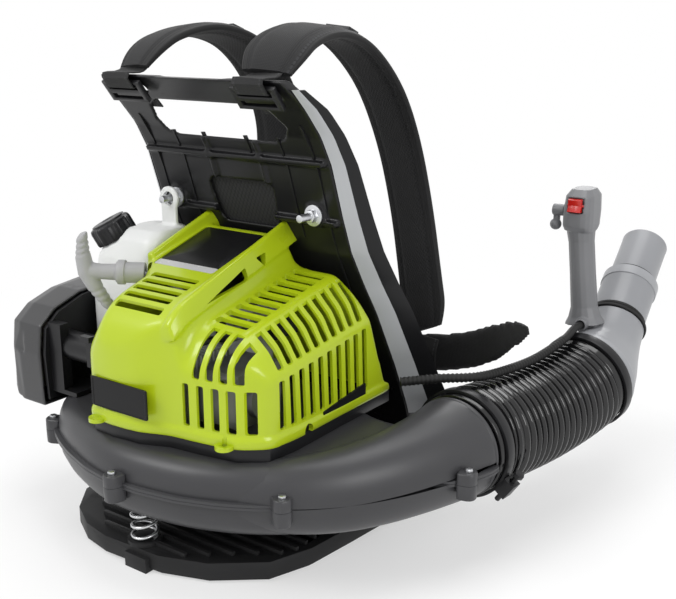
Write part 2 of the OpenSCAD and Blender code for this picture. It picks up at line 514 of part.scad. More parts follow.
module air_cover() color([0.14,0.14,0.15]) difference() {
  union() {
    skin([for (s = [[-241,16],[-239,9],[-230,3],[-215,0],[-179.8,0]]) [for (i = [0:7]) ab(s[1],
        s[0])[7-i]]]);
    // latch knob
    translate([-250,-62,182]) rotate([0,90,0]) cylinder(h=12, r=11, $fn=24);
  }
  skin([for (s = [[-237,17],[-228,6],[-215,3],[-170,3]]) [for (i = [0:7]) ab(s[1], s[0])[7-i]]]);
  // grip recess of the front
  translate([-226,-130,178]) cube([18, 10, 28]);
}
module muffler() color([0.50,0.50,0.51]) difference() {
  union() {
    translate([66,-126,164]) cube([50, 62, 54]);
    translate([60,-112,177]) cube([6.2, 26, 26]);
    translate([116,-95,191]) rotate([0,90,0]) cylinder(h=8, r=22, $fn=48);
    translate([84,-130,206]) cube([24, 5, 8]);
  }
  translate([70,-122,168]) cube([42, 54, 46]);
  translate([50,-99,189]) rotate([0,90,0]) cylinder(h=30, r=9.5, $fn=32);
  translate([88,-140,208]) cube([14, 22, 4]);
}
module crankshaft() color([0.70,0.71,0.73]) translate(AX) {
  translate([0,0,70]) cylinder(h=97.5, r=shaft_d/2, $fn=48);
  translate([0,0,167]) cylinder(h=8, r=30, $fn=64);
  translate([0,0,205]) cylinder(h=8, r=30, $fn=64);
  translate([0,0,212.5]) cylinder(h=43, r=shaft_d/2, $fn=48);
  translate([0,0,252.2]) cylinder(h=4, r=11, $fn=6);
}
module connecting_rod() color([0.62,0.62,0.64]) difference() {
  union() {
    translate([axis_x,-97,185]) cylinder(h=10, r=8, $fn=40);
    translate([axis_x,-41.5,185]) cylinder(h=10, r=11, $fn=40);
    translate([axis_x-4,-97,186]) cube([8, 55, 8]);
    translate([axis_x,-41.5,175.6]) cylinder(h=28.8, r=7, $fn=40);
  }
  translate([axis_x,-97,180]) cylinder(h=20, r=5+run_gap, $fn=40);
}
module wrist_pin() color([0.78,0.78,0.80]) translate([axis_x,-97,172]) difference() {
  cylinder(h=36, r=5, $fn=40); translate([0,0,-1]) cylinder(h=38, r=2.5, $fn=24); }
module piston() color([0.72,0.73,0.74]) difference() {
  union() {
    translate([axis_x,-89,190]) rotate([90,0,0]) difference() {
      cylinder(h=23, r=bore_d/2-run_gap, $fn=64); translate([0,0,-1]) cylinder(h=19, r=16.5, $fn=48); }
    translate([axis_x-7,-105,172]) cube([14, 14, 12.6]);
    translate([axis_x-7,-105,195.4]) cube([14, 14, 12.6]);
  }
  translate([axis_x,-97,160]) cylinder(h=60, r=5.02, $fn=40);
}
module flywheel() color([0.62,0.63,0.65]) translate(AX) difference() {
  union() {
    translate([0,0,230]) cylinder(h=5, r=52, $fn=64);
    translate([0,0,230]) cylinder(h=22, r=16, $fn=48);
    for (a = [0:30:330]) rotate(a) translate([18,-1.5,230]) cube([33, 3, 17]);
    difference() { translate([0,0,246]) cylinder(h=6, r=30, $fn=48); translate([0,0,245]) cylinder(h=8,
        r=26, $fn=48); }
  }
  translate([0,0,220]) cylinder(h=50, r=shaft_d/2+0.02, $fn=48);
}
module impeller() color([0.25,0.25,0.27]) translate(AX) difference() {
  union() {
    translate([0,0,116]) cylinder(h=3, r=impeller_d/2, $fn=96);
    translate([0,0,74]) cylinder(h=50, r=15, $fn=48);
    for (i = [0:blade_count-1]) rotate(i*360/blade_count) translate([52,0,74]) rotate(-32) cube([58,
        2.5, 43]);
    for (i = [0:4]) rotate(i*72) translate([12,-2,112]) cube([60, 4, 5]);
  }
  translate([0,0,60]) cylinder(h=80, r=shaft_d/2+0.02, $fn=48);
}
// ---------- starter ----------
module starter_housing() color([0.14,0.14,0.15]) translate(AX) {
  translate([0,0,273]) cylinder(h=3, r=38, $fn=64);
  // arms, legs and feet round the flywheel
  for (a = [50, 130, 215, 300]) rotate(a) {
    translate([30,-5,273]) cube([29, 10, 3]);
    translate([54,-5,226.1]) cube([5, 10, 49.9]);
    translate([37,-5,226.1]) cube([22, 10, 3]);
  }
  translate([0,0,256.8]) cylinder(h=17, r=9.95, $fn=48);
}
PULLEY_R = 42;               // flanges of the rope pulley
ROPE_R = 38.6;               // middle of the rope on the pulley
module rope_pulley() color([0.20,0.20,0.21]) translate(AX) difference() {
  union() {
    translate([0,0,258]) cylinder(h=3, r=PULLEY_R, $fn=64);
    translate([0,0,259]) cylinder(h=11, r=ROPE_R-2, $fn=64);
    translate([0,0,268]) cylinder(h=3, r=PULLEY_R, $fn=64);
  }
  translate([0,0,250]) cylinder(h=40, r=10, $fn=48);
  translate([0,0,264]) difference() {
    cylinder(h=10, r=33, $fn=64); translate([0,0,-1]) cylinder(h=12, r=14, $fn=48); }
}
module recoil_spring() color([0.45,0.46,0.50]) translate(AX) linear_extrude(6, convexity=6) spiral2d();
module spiral2d() polygon(concat(
  [for (i = [0:60]) let (a = i*18, r = 16 + i*0.24) [r*cos(a), r*sin(a)]],
  [for (i = [60:-1:0]) let (a = i*18, r = 16.9 + i*0.24) [r*cos(a), r*sin(a)]]));
module rope_guide() color([0.66,0.66,0.67]) place(EXIT-PULL*7, PULL) difference() {
  union() { cylinder(h=30, r=11, $fn=40); translate([0,0,20.4]) cylinder(h=8, r=13, $fn=40); }
  translate([0,0,-1]) cylinder(h=40, r=4, $fn=32);
}
GRIP_C = EXIT + PULL*58;
module starter_rope() color([0.92,0.92,0.90]) sweep(
  [[axis_x+6,axis_y-ROPE_R,264.5],[-10,axis_y-ROPE_R-2.6,268],EXIT-PULL*6,EXIT+PULL*24,GRIP_C],
      rnd(1.6,6), [0,0.2,1]);
module pull_handle() color([0.60,0.60,0.61]) difference() {
  union() {
    place(GRIP_C-PULL*34, PULL) cylinder(h=38, r1=9.5, r2=9, $fn=32);
    skin([for (s =
        [[-50,5,4,14],[-44,8,6,10],[-22,9.5,8,2],[0,11,9,-2],[22,9.5,8,2],[44,8,6,10],[50,5,4,14]])
      let (b = uni([0.22,0.46,-0.86]), c = GRIP_C + b*s[0] - PULL*s[3]*0.8) ring(rnd(s[1],10,s[2]), c,
          b, PULL)]);
  }
  place(GRIP_C-PULL*60, PULL) cylinder(h=80, r=2.3, $fn=24);
}
// ---------- fuel ----------
function rr(x0,x1,y0,y1,r,z) = [for (q =
    [[x1-r,y0,0],[x1,y0+r,0],[x1,y1-r,0],[x1-r,y1,0],[x0+r,y1,0],[x0,y1-r,0],[x0,y0+r,0],[x0+r,y0,0]])
  [q[0], q[1], z]];
module tank_form(d) skin([for (s =
    [[150.2+d,12,8],[158,2,10],[180,0,12],[240,0,12],[284,6,14],[306,18,14],[316-d,34,10]])
  let (z = s[0]) rr(-170+s[1]*1.1+d, -72-s[1]*0.2-d, -56+s[1]*0.7+d, fy(z)-12-s[1]*0.1-d, s[2], z)]);
NECK = [-144,-22,288];
ND = uni([-0.36,-0.30,0.88]);
// tank with the flat seat of the cap
module tank_shell(d) difference() {
  tank_form(d);
  place(NECK+ND*(13-d), ND) cylinder(h=60, r=26.2+d, $fn=48);
}
module fuel_tank() color([0.93,0.93,0.92]) difference() {
  union() {
    tank_shell(0);
    place(NECK, ND) cylinder(h=26, r=19, $fn=48);
    // ear towards the stud
    translate([-110,3,300]) cube([26, 5, 46]);
    translate([-96.5,3,346]) rotate([-90,0,0]) cylinder(h=5, r=14, $fn=40);
    translate([-158,-48,136.2]) cube([60, 50, 16]);
  }
  tank_shell(2.5);
  place(NECK-ND*8, ND) cylinder(h=60, r=16, $fn=48);
  translate([-96.5,-10,346]) rotate([-90,0,0]) cylinder(h=30, r=8, $fn=40);
}
module fuel_cap() color([0.10,0.10,0.11]) place(NECK+ND*14, ND) difference() {
  union() {
    cylinder(h=20, r=24, $fn=48);
    for (a = [0:30:330]) rotate(a) translate([22.5,-2,0]) cube([3, 4, 20]);
    translate([0,0,19]) cylinder(h=4, r=20, $fn=48);
  }
  translate([0,0,-1]) cylinder(h=13.4, r=19+run_gap, $fn=48);
}
module fuel_line() color([0.85,0.78,0.45])
    sweep(cr([[-104,-56.6,176],[-104,-66,172],[-96,-74,160],[-84,-86,154],[-82,-94,160.6]],4),
  rnd(2.6,8), [0.3,0,1]);
// ---------- hose, tube, handle ----------
HU = [0,0,1];
HP = concat([DUCT + DT*11, DUCT + DT*38], [for (i = [4:len(HOSE)-5]) HOSE[i]], [HOSE_END - HD*28,
    HOSE_END]);
HL = [for (i = [1:len(HP)-1]) norm(HP[i]-HP[i-1])];
function cum(k) = k == 0 ? 0 : HL[k-1] + cum(k-1);
HC = [for (k = [0:len(HP)-1]) cum(k)];
HLEN = HC[len(HC)-1];
function seg(s, k=1) = k >= len(HC)-1 || s <= HC[k] ? k : seg(s, k+1);
function hp(s) = let (k = seg(s), t = (s - HC[k-1])/(HC[k]-HC[k-1])) lerp(HP[k-1], HP[k], t);
function ht(s) = s <= 26.5 ? DT : s >= HLEN-27.5 ? HD : uni(hp(min(HLEN, s+8)) - hp(max(0, s-8)));
module flex_hose() color([0.10,0.10,0.11]) difference() {
  skin([for (q = concat([[0,54.2],[25,54.2],[26,51.5+1.2]],
      [for (i = [0:rib_count-1]) each [[29+i*(HLEN-58)/(rib_count-0.4),
          56.9],[29+(i+0.55)*(HLEN-58)/(rib_count-0.4), 53.4]]],
      [[HLEN-26,54.2],[HLEN-0.02,54.2]]))
    ring(rnd(q[1]/cos(11.25), 16, 0, 11.25), hp(q[0]), ht(q[0]), HU)]);
  skin([for (s = [-6, 26, 60, 95, 130, 165, 200, HLEN-26, HLEN+6])
    ring(rnd(50.5/cos(11.25), 16, 0, 11.25), s < 0 ? hp(0)+DT*s : s > HLEN ? hp(HLEN)+HD*6 : hp(s),
        ht(s), HU)]);
}
module band(c, d, r, w) place(c, d) difference() { cylinder(h=w, r=r+3.2, $fn=64);
    translate([0,0,-1]) cylinder(h=w+2, r=r, $fn=64); }
module duct_clamp() color([0.09,0.09,0.10]) {
  band(DUCT+DT*17, DT, 54.2/cos(11.25)+0.35, 12);
  place(DUCT+DT*17, DT) rotate(-55) translate([58,-14,-1]) difference() { cube([13, 20, 14]);
      translate([6,-1,7]) rotate([-90,0,0]) cylinder(h=30, r=3, $fn=24); }
  place(DUCT+DT*23, DT) rotate(-55) translate([65,-27,0]) rotate([-90,0,0]) cylinder(h=44, r=2.9, $fn=24);
  place(DUCT+DT*23, DT) rotate(-55) translate([65,-28,0]) rotate([-90,0,0]) cylinder(h=5, r=5.5, $fn=6);
}
module tube_clamp() color([0.09,0.09,0.10]) {
  band(HOSE_END-HD*17, HD, 54.2/cos(11.25)+0.35, 12);
  place(HOSE_END-HD*17, HD) rotate(84) translate([58,-10,-1]) difference() { cube([13, 20, 14]);
      translate([6,-1,7]) rotate([-90,0,0]) cylinder(h=30, r=3, $fn=24); }
  place(HOSE_END-HD*11, HD) rotate(84) translate([64,-40,0]) rotate([-90,0,0]) cylinder(h=52, r=2.9,
      $fn=24);
  place(HOSE_END-HD*11, HD) rotate(84) translate([64,-42,0]) rotate([-90,0,0]) cylinder(h=13, r=8,
      $fn=24);
}
SLV = [[HOSE_END-HD*30, HD, 49.8],[HOSE_END+HD*1, HD, 49.8],[HOSE_END+HD*1.2, HD, 54],[HOSE_END+HD*9,
    HD, 54],
  [TB-TD*9+[-1,0,2], uni(HD*0.75+TD*0.5), 48],[TB+TD*14, uni(HD*0.2+TD), 41],[TB+TD*36, TD,
      37.5],[TB+TD*57, TD, 36.5]];
module sleeve_form(d) skin([for (s = SLV) ring(rnd(s[2]+d, 32), s[0], s[1], HU)]);
module upper_tube() color([0.66,0.67,0.69]) difference() {
  union() {
    sleeve_form(0);
    place(TB+TD*56, TD) {
      translate([0,0,0.5]) cylinder(h=4, r=38.5, $fn=64);
      cylinder(h=70, r=34, $fn=64);
      translate([0,0,62]) cylinder(h=14, r=35.5, $fn=64);
    }
  }
  skin([for (s = SLV) ring(rnd(s[2]-(s[2] < 49.9 && s[2] > 49 ? 3 : 4.2), 32),
    s[0] + (s[0] == SLV[0][0] ? -HD*2 : s[0] == SLV[7][0] ? TD*3 : [0,0,0]), s[1], HU)]);
  place(TB+TD*54, TD) cylinder(h=60, r=tube_d/2-tube_wall-2, $fn=64);
  place(TB+TD*54, TD) cylinder(h=90, r=nozzle_d/2+run_gap, $fn=64);
  // bayonet slot
  place(TB+TD*117.8, TD) rotate(-96) rotate_extrude(angle=52, $fn=64) translate([27,0]) square([12, 6.4]);
}
module nozzle() color([0.62,0.63,0.65]) place(TB+TD*114, TD) difference() {
  union() {
    cylinder(h=90, r=nozzle_d/2, $fn=64);
    translate([0,0,18.4]) cylinder(h=4, r=32, $fn=64);
    // bayonet pin
    rotate(-90) translate([0,0,7]) rotate([0,90,0]) cylinder(h=33.5, r=2.4, $fn=24);
  }
  translate([0,0,-1]) cylinder(h=100, r=nozzle_d/2-2.4, $fn=64);
}
HB = [262, 347, 181]; // handle foot
HT = [247, 352, 298]; // handle head foot
HX = uni(HT-HB);
HR = norm(HT-HB); // foot to head
module control_handle() color([0.63,0.64,0.66]) difference() {
  union() {
    skin([for (s = [[-1,25,22],[8,20,18],[20,16.5,16.5],[60,15.5,17],[HR-18,15.5,16.5],[HR-4,17,19]])
      ring(rnd(s[1],16,s[2],11.25), HB+HX*s[0], HX, [0,-1,0])]);
    // saddle on the sleeve
    skin([for (s = [[-24,12,14],[-12,15,19],[0,12,14]]) ring(rnd(s[1],12,s[2]), HB+[6,s[0]+12,0]-HX*4,
        [0,1,0], [0,0,1])]);
    // socket of the conduit
    translate([266,322,184]) rotate([-90,0,0]) cylinder(h=18, r=7.5, $fn=24);
    // head
    skin([for (s = [[-4,17,19,0],[2,18.5,23,0],[20,18.5,25,1],[38,17,24,3],[46,12,17,4]])
      [for (q = rnd(1,16,1,11.25)) let (e = [for (k=[0:1]) sign(q[k])*pow(abs(q[k]),0.55)])
        [HT[0] + e[0]*s[1], HT[1] + s[3] + e[1]*s[2], HT[2] + s[0]]]]);
  }
  // room for the switch, the trigger and the cruise lever
  translate([HT[0]-10, HT[1]-32, HT[2]+19]) cube([20, 14, 18]);
  translate([HT[0]-7, HT[1]+8, HT[2]-36]) cube([14, 40, 48]);
  translate([HT[0]-60, HT[1]-4, HT[2]+18]) rotate([0,90,0]) cylinder(h=52, r=4+run_gap, $fn=32);
  translate([HT[0]-40, HT[1]+20, HT[2]+5]) rotate([0,90,0]) cylinder(h=80, r=2+run_gap, $fn=24);
  place(HB-HX*20, HX) cylinder(h=90, r=4.4, $fn=24);
  translate([266,321,184]) rotate([-90,0,0]) cylinder(h=10.5, r=5.3, $fn=24);
  sleeve_form(0.05);
}
module trigger() color([0.10,0.10,0.11]) translate([HT[0], HT[1]+20, HT[2]+5]) union() {
  rotate([90,0,90]) translate([0,0,-6]) linear_extrude(12)
    polygon([[-5,-8],[-3,4],[4,5],[9,-4],[11,-16],[9,-30],[13,-40],[11,-43],[5,-39],[1,-28],[-1,-16]]);
  translate([-12,0,0]) rotate([0,90,0]) cylinder(h=24, r=2, $fn=24);
}
module cruise_lever() color([0.66,0.66,0.68]) translate([HT[0], HT[1]-4, HT[2]+18]) {
  translate([-28,0,0]) rotate([0,90,0]) cylinder(h=18, r=4, $fn=32);
  translate([-34,0,0]) rotate([0,90,0]) cylinder(h=14, r=7, $fn=32);
  translate([-33,-3.5,-20]) cube([6, 7, 18]);
  translate([-31,0,-18]) sphere(r=7, $fn=20);
}
module stop_switch() color([0.75,0.10,0.08]) translate([HT[0], HT[1]-21, HT[2]+28]) {
  rotate([90,0,90]) translate([0,0,-8]) linear_extrude(16)
      polygon([[1,-8],[1,8],[-4.5,7],[-2.8,0],[-6.5,-7]]);
  rotate([0,90,0]) translate([-0.0,0,-9.9]) cylinder(h=19.8, r=1.5, $fn=20);
}
CABLE = cr([[176,62,170],[206,86,173],[238,112,174],[250,150,172],[262,205,173],[270,262,181],[268,296,185],
  [266,316,184],[266,330,184]], 4);
module throttle_conduit() color([0.13,0.13,0.14]) skin([for (i = [0:len(CABLE)-1])
  ring(rnd(i < 20 ? (i%2 == 0 ? 5.2 : 4.1) : 4.6, 8), CABLE[i], tan_at(CABLE, i), HU)]);

// ---------- output ----------
back_frame();
base_plate();
side_trim_left();
side_trim_right();
mesh_panel();
frame_bolts();
back_pad();
lumbar_pad();
shoulder_strap_left();
shoulder_strap_right();
webbing_left();
webbing_right();
ear_buckles();
strap_sliders();
isolator_springs();
volute_lower();
volute_upper();
flange_screws();
engine_collar();
crankcase();
main_bearings();
cylinder_node();  // cylinder
spark_plug();
ignition_coil();
intake_manifold();
carburettor();
filter_base();
air_filter();
muffler();
shroud();
badge_plates();
starter_housing();
translate([0,0,264.6]) recoil_spring();
rope_guide();
fuel_tank();
fuel_line();
duct_clamp();
air_cover();
fuel_cap();
crankshaft();
flywheel();
impeller();
piston();
wrist_pin();
connecting_rod();
pull_handle();
starter_rope();
rope_pulley();
flex_hose();
throttle_conduit();
upper_tube();
tube_clamp();
nozzle();
control_handle();
trigger();
cruise_lever();
stop_switch();
throttle_arm();
choke_lever();
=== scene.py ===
"""Dressed model of a backpack leaf blower on its carrying frame.

Pieces are made in millimetres in the row frame and stored in metres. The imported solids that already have
the right shape stay, with a worked finish; the others are replaced by a fuller piece on the same body.
"""

from __future__ import annotations

import json
import logging
import math
from dataclasses import dataclass, field
from enum import Enum
from typing import Any, Protocol, Sequence

import bmesh
import bpy
import numpy as np
from mathutils import Matrix, Vector

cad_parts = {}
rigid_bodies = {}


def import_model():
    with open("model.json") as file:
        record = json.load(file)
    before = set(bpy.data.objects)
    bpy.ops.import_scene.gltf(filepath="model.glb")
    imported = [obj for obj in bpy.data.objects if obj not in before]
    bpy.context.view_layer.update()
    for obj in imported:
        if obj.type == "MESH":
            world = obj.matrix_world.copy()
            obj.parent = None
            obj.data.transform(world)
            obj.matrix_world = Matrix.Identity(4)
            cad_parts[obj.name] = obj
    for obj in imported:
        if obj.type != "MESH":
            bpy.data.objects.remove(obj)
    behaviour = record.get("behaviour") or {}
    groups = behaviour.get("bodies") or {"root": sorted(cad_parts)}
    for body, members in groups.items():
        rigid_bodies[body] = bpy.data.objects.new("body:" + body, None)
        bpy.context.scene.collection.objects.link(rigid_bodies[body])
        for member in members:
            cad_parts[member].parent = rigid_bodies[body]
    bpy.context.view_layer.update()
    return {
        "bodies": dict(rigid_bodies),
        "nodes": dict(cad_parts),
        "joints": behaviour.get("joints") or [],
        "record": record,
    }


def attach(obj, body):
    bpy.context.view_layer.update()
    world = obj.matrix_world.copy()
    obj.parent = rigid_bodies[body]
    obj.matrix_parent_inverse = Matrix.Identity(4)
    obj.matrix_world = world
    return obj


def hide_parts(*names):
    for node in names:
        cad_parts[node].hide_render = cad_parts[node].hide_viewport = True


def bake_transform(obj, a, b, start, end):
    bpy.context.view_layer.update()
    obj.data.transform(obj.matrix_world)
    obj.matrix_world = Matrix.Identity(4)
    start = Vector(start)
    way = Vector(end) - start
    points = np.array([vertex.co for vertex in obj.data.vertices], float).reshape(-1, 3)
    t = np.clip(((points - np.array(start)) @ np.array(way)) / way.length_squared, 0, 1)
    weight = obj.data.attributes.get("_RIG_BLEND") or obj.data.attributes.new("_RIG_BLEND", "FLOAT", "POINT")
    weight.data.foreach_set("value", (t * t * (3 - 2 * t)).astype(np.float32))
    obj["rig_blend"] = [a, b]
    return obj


LOG = logging.getLogger("leaf_blower")
MM = 0.001
UV_MM = 100.0  # millimetres of surface in one unit of a UV map
Colour = tuple[float, float, float]


class Weave(Enum):
    """How the threads of a cloth lie."""

    PLAIN = "plain"
    SPACER = "spacer"
    WEBBING = "webbing"
    BRAID = "braid"


class Spread(Enum):
    """What a cloth's pattern follows: the piece's own UV map, or the plane across the wearer's back."""

    UV = "uv"
    BACK = "back"


# ---------------------------------------------------------------- shaders
class Signal:
    """A number on a shader socket. Arithmetic on it adds Math nodes."""

    def __init__(self, shader: Shader, socket: bpy.types.NodeSocket) -> None:
        """Keeps the socket and the tree it belongs to."""
        self.shader = shader
        self.socket = socket

    def _maths(self, operation: str, first: Signal | float, second: Signal | float = 0.0) -> Signal:
        """Adds one Math node.

        Args:
            operation: the node's operation.
            first: the first value or signal.
            second: the second value or signal.

        Returns:
            The node's result.
        """
        return self.shader.node("ShaderNodeMath", {"operation": operation}, {0: first, 1: second})[0]

    def __add__(self, other: Signal | float) -> Signal:
        """self + other."""
        return self._maths("ADD", self, other)

    __radd__ = __add__

    def __sub__(self, other: Signal | float) -> Signal:
        """self - other."""
        return self._maths("SUBTRACT", self, other)

    def __rsub__(self, other: float) -> Signal:
        """other - self."""
        return self._maths("SUBTRACT", other, self)

    def __mul__(self, other: Signal | float) -> Signal:
        """self * other."""
        return self._maths("MULTIPLY", self, other)

    __rmul__ = __mul__

    def __truediv__(self, other: Signal | float) -> Signal:
        """self / other."""
        return self._maths("DIVIDE", self, other)

    def __rtruediv__(self, other: float) -> Signal:
        """other / self."""
        return self._maths("DIVIDE", other, self)

    def __pow__(self, other: float) -> Signal:
        """self to a power."""
        return self._maths("POWER", self, other)

    def __abs__(self) -> Signal:
        """Size without sign."""
        return self._maths("ABSOLUTE", self)

    def sine(self) -> Signal:
        """Sine of the signal, in radians."""
        return self._maths("SINE", self)

    def over(self, level: float) -> Signal:
        """1 where the signal is above a level, else 0."""
        return self._maths("GREATER_THAN", self, level)

    def under(self, level: float) -> Signal:
        """1 where the signal is below a level, else 0."""
        return self._maths("LESS_THAN", self, level)


class Outlets:
    """The output sockets of a node that has just been added."""

    def __init__(self, shader: Shader, node: bpy.types.Node) -> None:
        """Keeps the node."""
        self.shader = shader
        self.made = node

    def __getitem__(self, key: int | str) -> Signal:
        """The output of that index or name."""
        return Signal(self.shader, self.made.outputs[key])


class Shader:
    """The node tree of one finish, or of the studio's sky."""

    def __init__(self, name: str, sky: bool = False) -> None:
        """Starts a material with its Principled surface, or a world with its background."""
        self.material = (bpy.data.worlds if sky else bpy.data.materials).new(name)
        self.material.use_nodes = True
        self.tree = self.material.node_tree
        self.surface = self.tree.nodes["Background" if sky else "Principled BSDF"]

    def node(self, kind: str, settings: dict[str, Any] | None = None, inputs: dict[int | str, Any] | None = None) -> Outlets:
        """Adds any node.

        Args:
            kind: the node's type.
            settings: its own settings; "stops" are a ramp's stops.
            inputs: values or signals for its sockets.

        Returns:
            The node's outputs.
        """
        made = self.tree.nodes.new(kind)
        for key, value in (settings or {}).items():
            if key == "stops":
                ramp = made.color_ramp
                while len(ramp.elements) < len(value):
                    ramp.elements.new(0.5)
                for element, (position, colour) in zip(ramp.elements, value):
                    element.position = position
                    element.color = (*colour, 1.0)
            else:
                setattr(made, key, value)
        for key, value in (inputs or {}).items():
            self.feed(made.inputs[key], value)
        return Outlets(self, made)

    def feed(self, socket: bpy.types.NodeSocket, value: Any) -> None:
        """Sets or links one socket.

        Args:
            socket: the input.
            value: a signal, a number, or a colour or vector.
        """
        if isinstance(value, Signal):
            self.tree.links.new(value.socket, socket)
        elif isinstance(value, tuple) and len(value) == 3 and len(socket.default_value) == 4:
            socket.default_value = (*value, 1.0)
        else:
            socket.default_value = value

    def set(self, **sockets: Any) -> None:
        """Feeds sockets of the surface, named with underscores for spaces."""
        for name, value in sockets.items():
            self.feed(self.surface.inputs[name.replace("_", " ")], value)

    def place(self) -> Signal:
        """Position on the piece, in metres."""
        return self.node("ShaderNodeTexCoord")["Object"]

    def across_along(self, spread: Spread) -> tuple[Signal, Signal]:
        """Two surface directions of a cloth in millimetres.

        Args:
            spread: what they follow.

        Returns:
            Across and along.
        """
        source = self.node("ShaderNodeTexCoord")["UV" if spread is Spread.UV else "Object"]
        parts = self.node("ShaderNodeSeparateXYZ", None, {0: source})
        if spread is Spread.UV:
            return parts["X"] * UV_MM, parts["Y"] * UV_MM
        return parts["X"] * (1 / MM), parts["Z"] * (1 / MM) * 1.1

    def noise(self, at: Signal, scale: float, detail: float = 2.0, stretch: Colour = (1.0, 1.0, 1.0)) -> Signal:
        """Noise from 0 to 1.

        Args:
            at: the position.
            scale: how fine it is.
            detail: its octaves.
            stretch: scale along each axis.

        Returns:
            The noise.
        """
        moved = self.node("ShaderNodeMapping", None, {"Vector": at, "Scale": stretch})[0]
        return self.node("ShaderNodeTexNoise", None, {"Vector": moved, "Scale": scale, "Detail": detail})[0]

    def ramp(self, value: Signal, low: float, high: float) -> Signal:
        """A smooth step from 0 at low to 1 at high."""
        return self.node("ShaderNodeMapRange", {"interpolation_type": "SMOOTHSTEP"}, {0: value, 1: low, 2: high})[0]

    def tint(self, mask: Signal | float, first: Any, second: Any) -> Signal:
        """A colour between two.

        Args:
            mask: 0 for the first and 1 for the second.
            first: colour or signal.
            second: colour or signal.

        Returns:
            The colour.
        """
        return self.node("ShaderNodeMix", {"data_type": "RGBA"}, {0: mask, 6: first, 7: second})[2]

    def edge(self) -> Signal:
        """1 along worn edges, 0 on flats."""
        point = self.node("ShaderNodeNewGeometry")["Pointiness"]
        return self.ramp(point, 0.515, 0.58)

    def bump(self, height: Signal, strength: float, depth_mm: float) -> None:
        """Feeds the surface's normal from a height.

        Args:
            height: the height, about 0 to 1.
            strength: how much of it is used.
            depth_mm: the depth of a height of 1.
        """
        made = self.node(
            "ShaderNodeBump", None, {"Strength": strength, "Distance": depth_mm * MM, "Height": height}
        )
        self.set(Normal=made[0])


def scaled(colour: Colour, k: float) -> Colour:
    """A colour made lighter or darker."""
    return (min(1.0, colour[0] * k), min(1.0, colour[1] * k), min(1.0, colour[2] * k))


class Finish(Protocol):
    """Anything that can make a material."""

    name: str

    def make(self) -> bpy.types.Material:
        """The material."""


@dataclass(frozen=True)
class Moulded:
    """A moulded plastic with a fine spark-eroded grain, rubbed paler along its edges."""

    name: str
    colour: Colour
    roughness: float = 0.45
    grain_mm: float = 0.9
    grain: float = 0.25
    coat: float = 0.0
    wear: float = 0.35
    mottle: float = 0.12
    shine: float = 0.5

    def make(self) -> bpy.types.Material:
        """The material."""
        sh = Shader(self.name)
        at = sh.place()
        cloud = sh.noise(at, 14.0, 4.0)
        speck = sh.noise(at, 1000.0 / self.grain_mm, 2.0)
        scuff = sh.ramp(sh.noise(at, 60.0, 6.0, (1.0, 1.0, 5.0)), 0.60, 0.78)
        base = sh.tint(cloud, scaled(self.colour, 1 - self.mottle), scaled(self.colour, 1 + self.mottle))
        paler = scaled(self.colour, 1.9) if max(self.colour) < 0.3 else scaled(self.colour, 1.12)
        sh.set(
            Base_Color=sh.tint(sh.edge() * self.wear, base, paler),
            Roughness=scuff * 0.10 + cloud * 0.08 + (self.roughness - 0.05),
        )
        sh.surface.inputs["Specular IOR Level"].default_value = self.shine
        if self.coat:
            sh.surface.inputs["Coat Weight"].default_value = self.coat
            sh.surface.inputs["Coat Roughness"].default_value = 0.06
        sh.bump(speck * 0.8 + cloud * 0.4, self.grain, 0.05 if self.coat else 0.12)
        return sh.material


@dataclass(frozen=True)
class Metal:
    """Bright, plated or cast metal."""

    name: str
    colour: Colour
    roughness: float = 0.3
    cast: bool = False
    brushed: bool = False

    def make(self) -> bpy.types.Material:
        """The material."""
        sh = Shader(self.name)
        at = sh.place()
        cloud = sh.noise(at, 25.0, 5.0)
        fine = sh.noise(
            at, 900.0 if self.cast else 400.0, 3.0, (1.0, 1.0, 0.05) if self.brushed else (1.0, 1.0, 1.0)
        )
        sh.set(
            Base_Color=sh.tint(cloud, scaled(self.colour, 0.78), scaled(self.colour, 1.12)),
            Metallic=0.35 if self.cast else 1.0,
            Roughness=cloud * 0.18 + fine * 0.08 + (self.roughness - 0.1),
        )
        sh.bump(fine, 0.35 if self.cast else 0.12, 0.2 if self.cast else 0.05)
        return sh.material


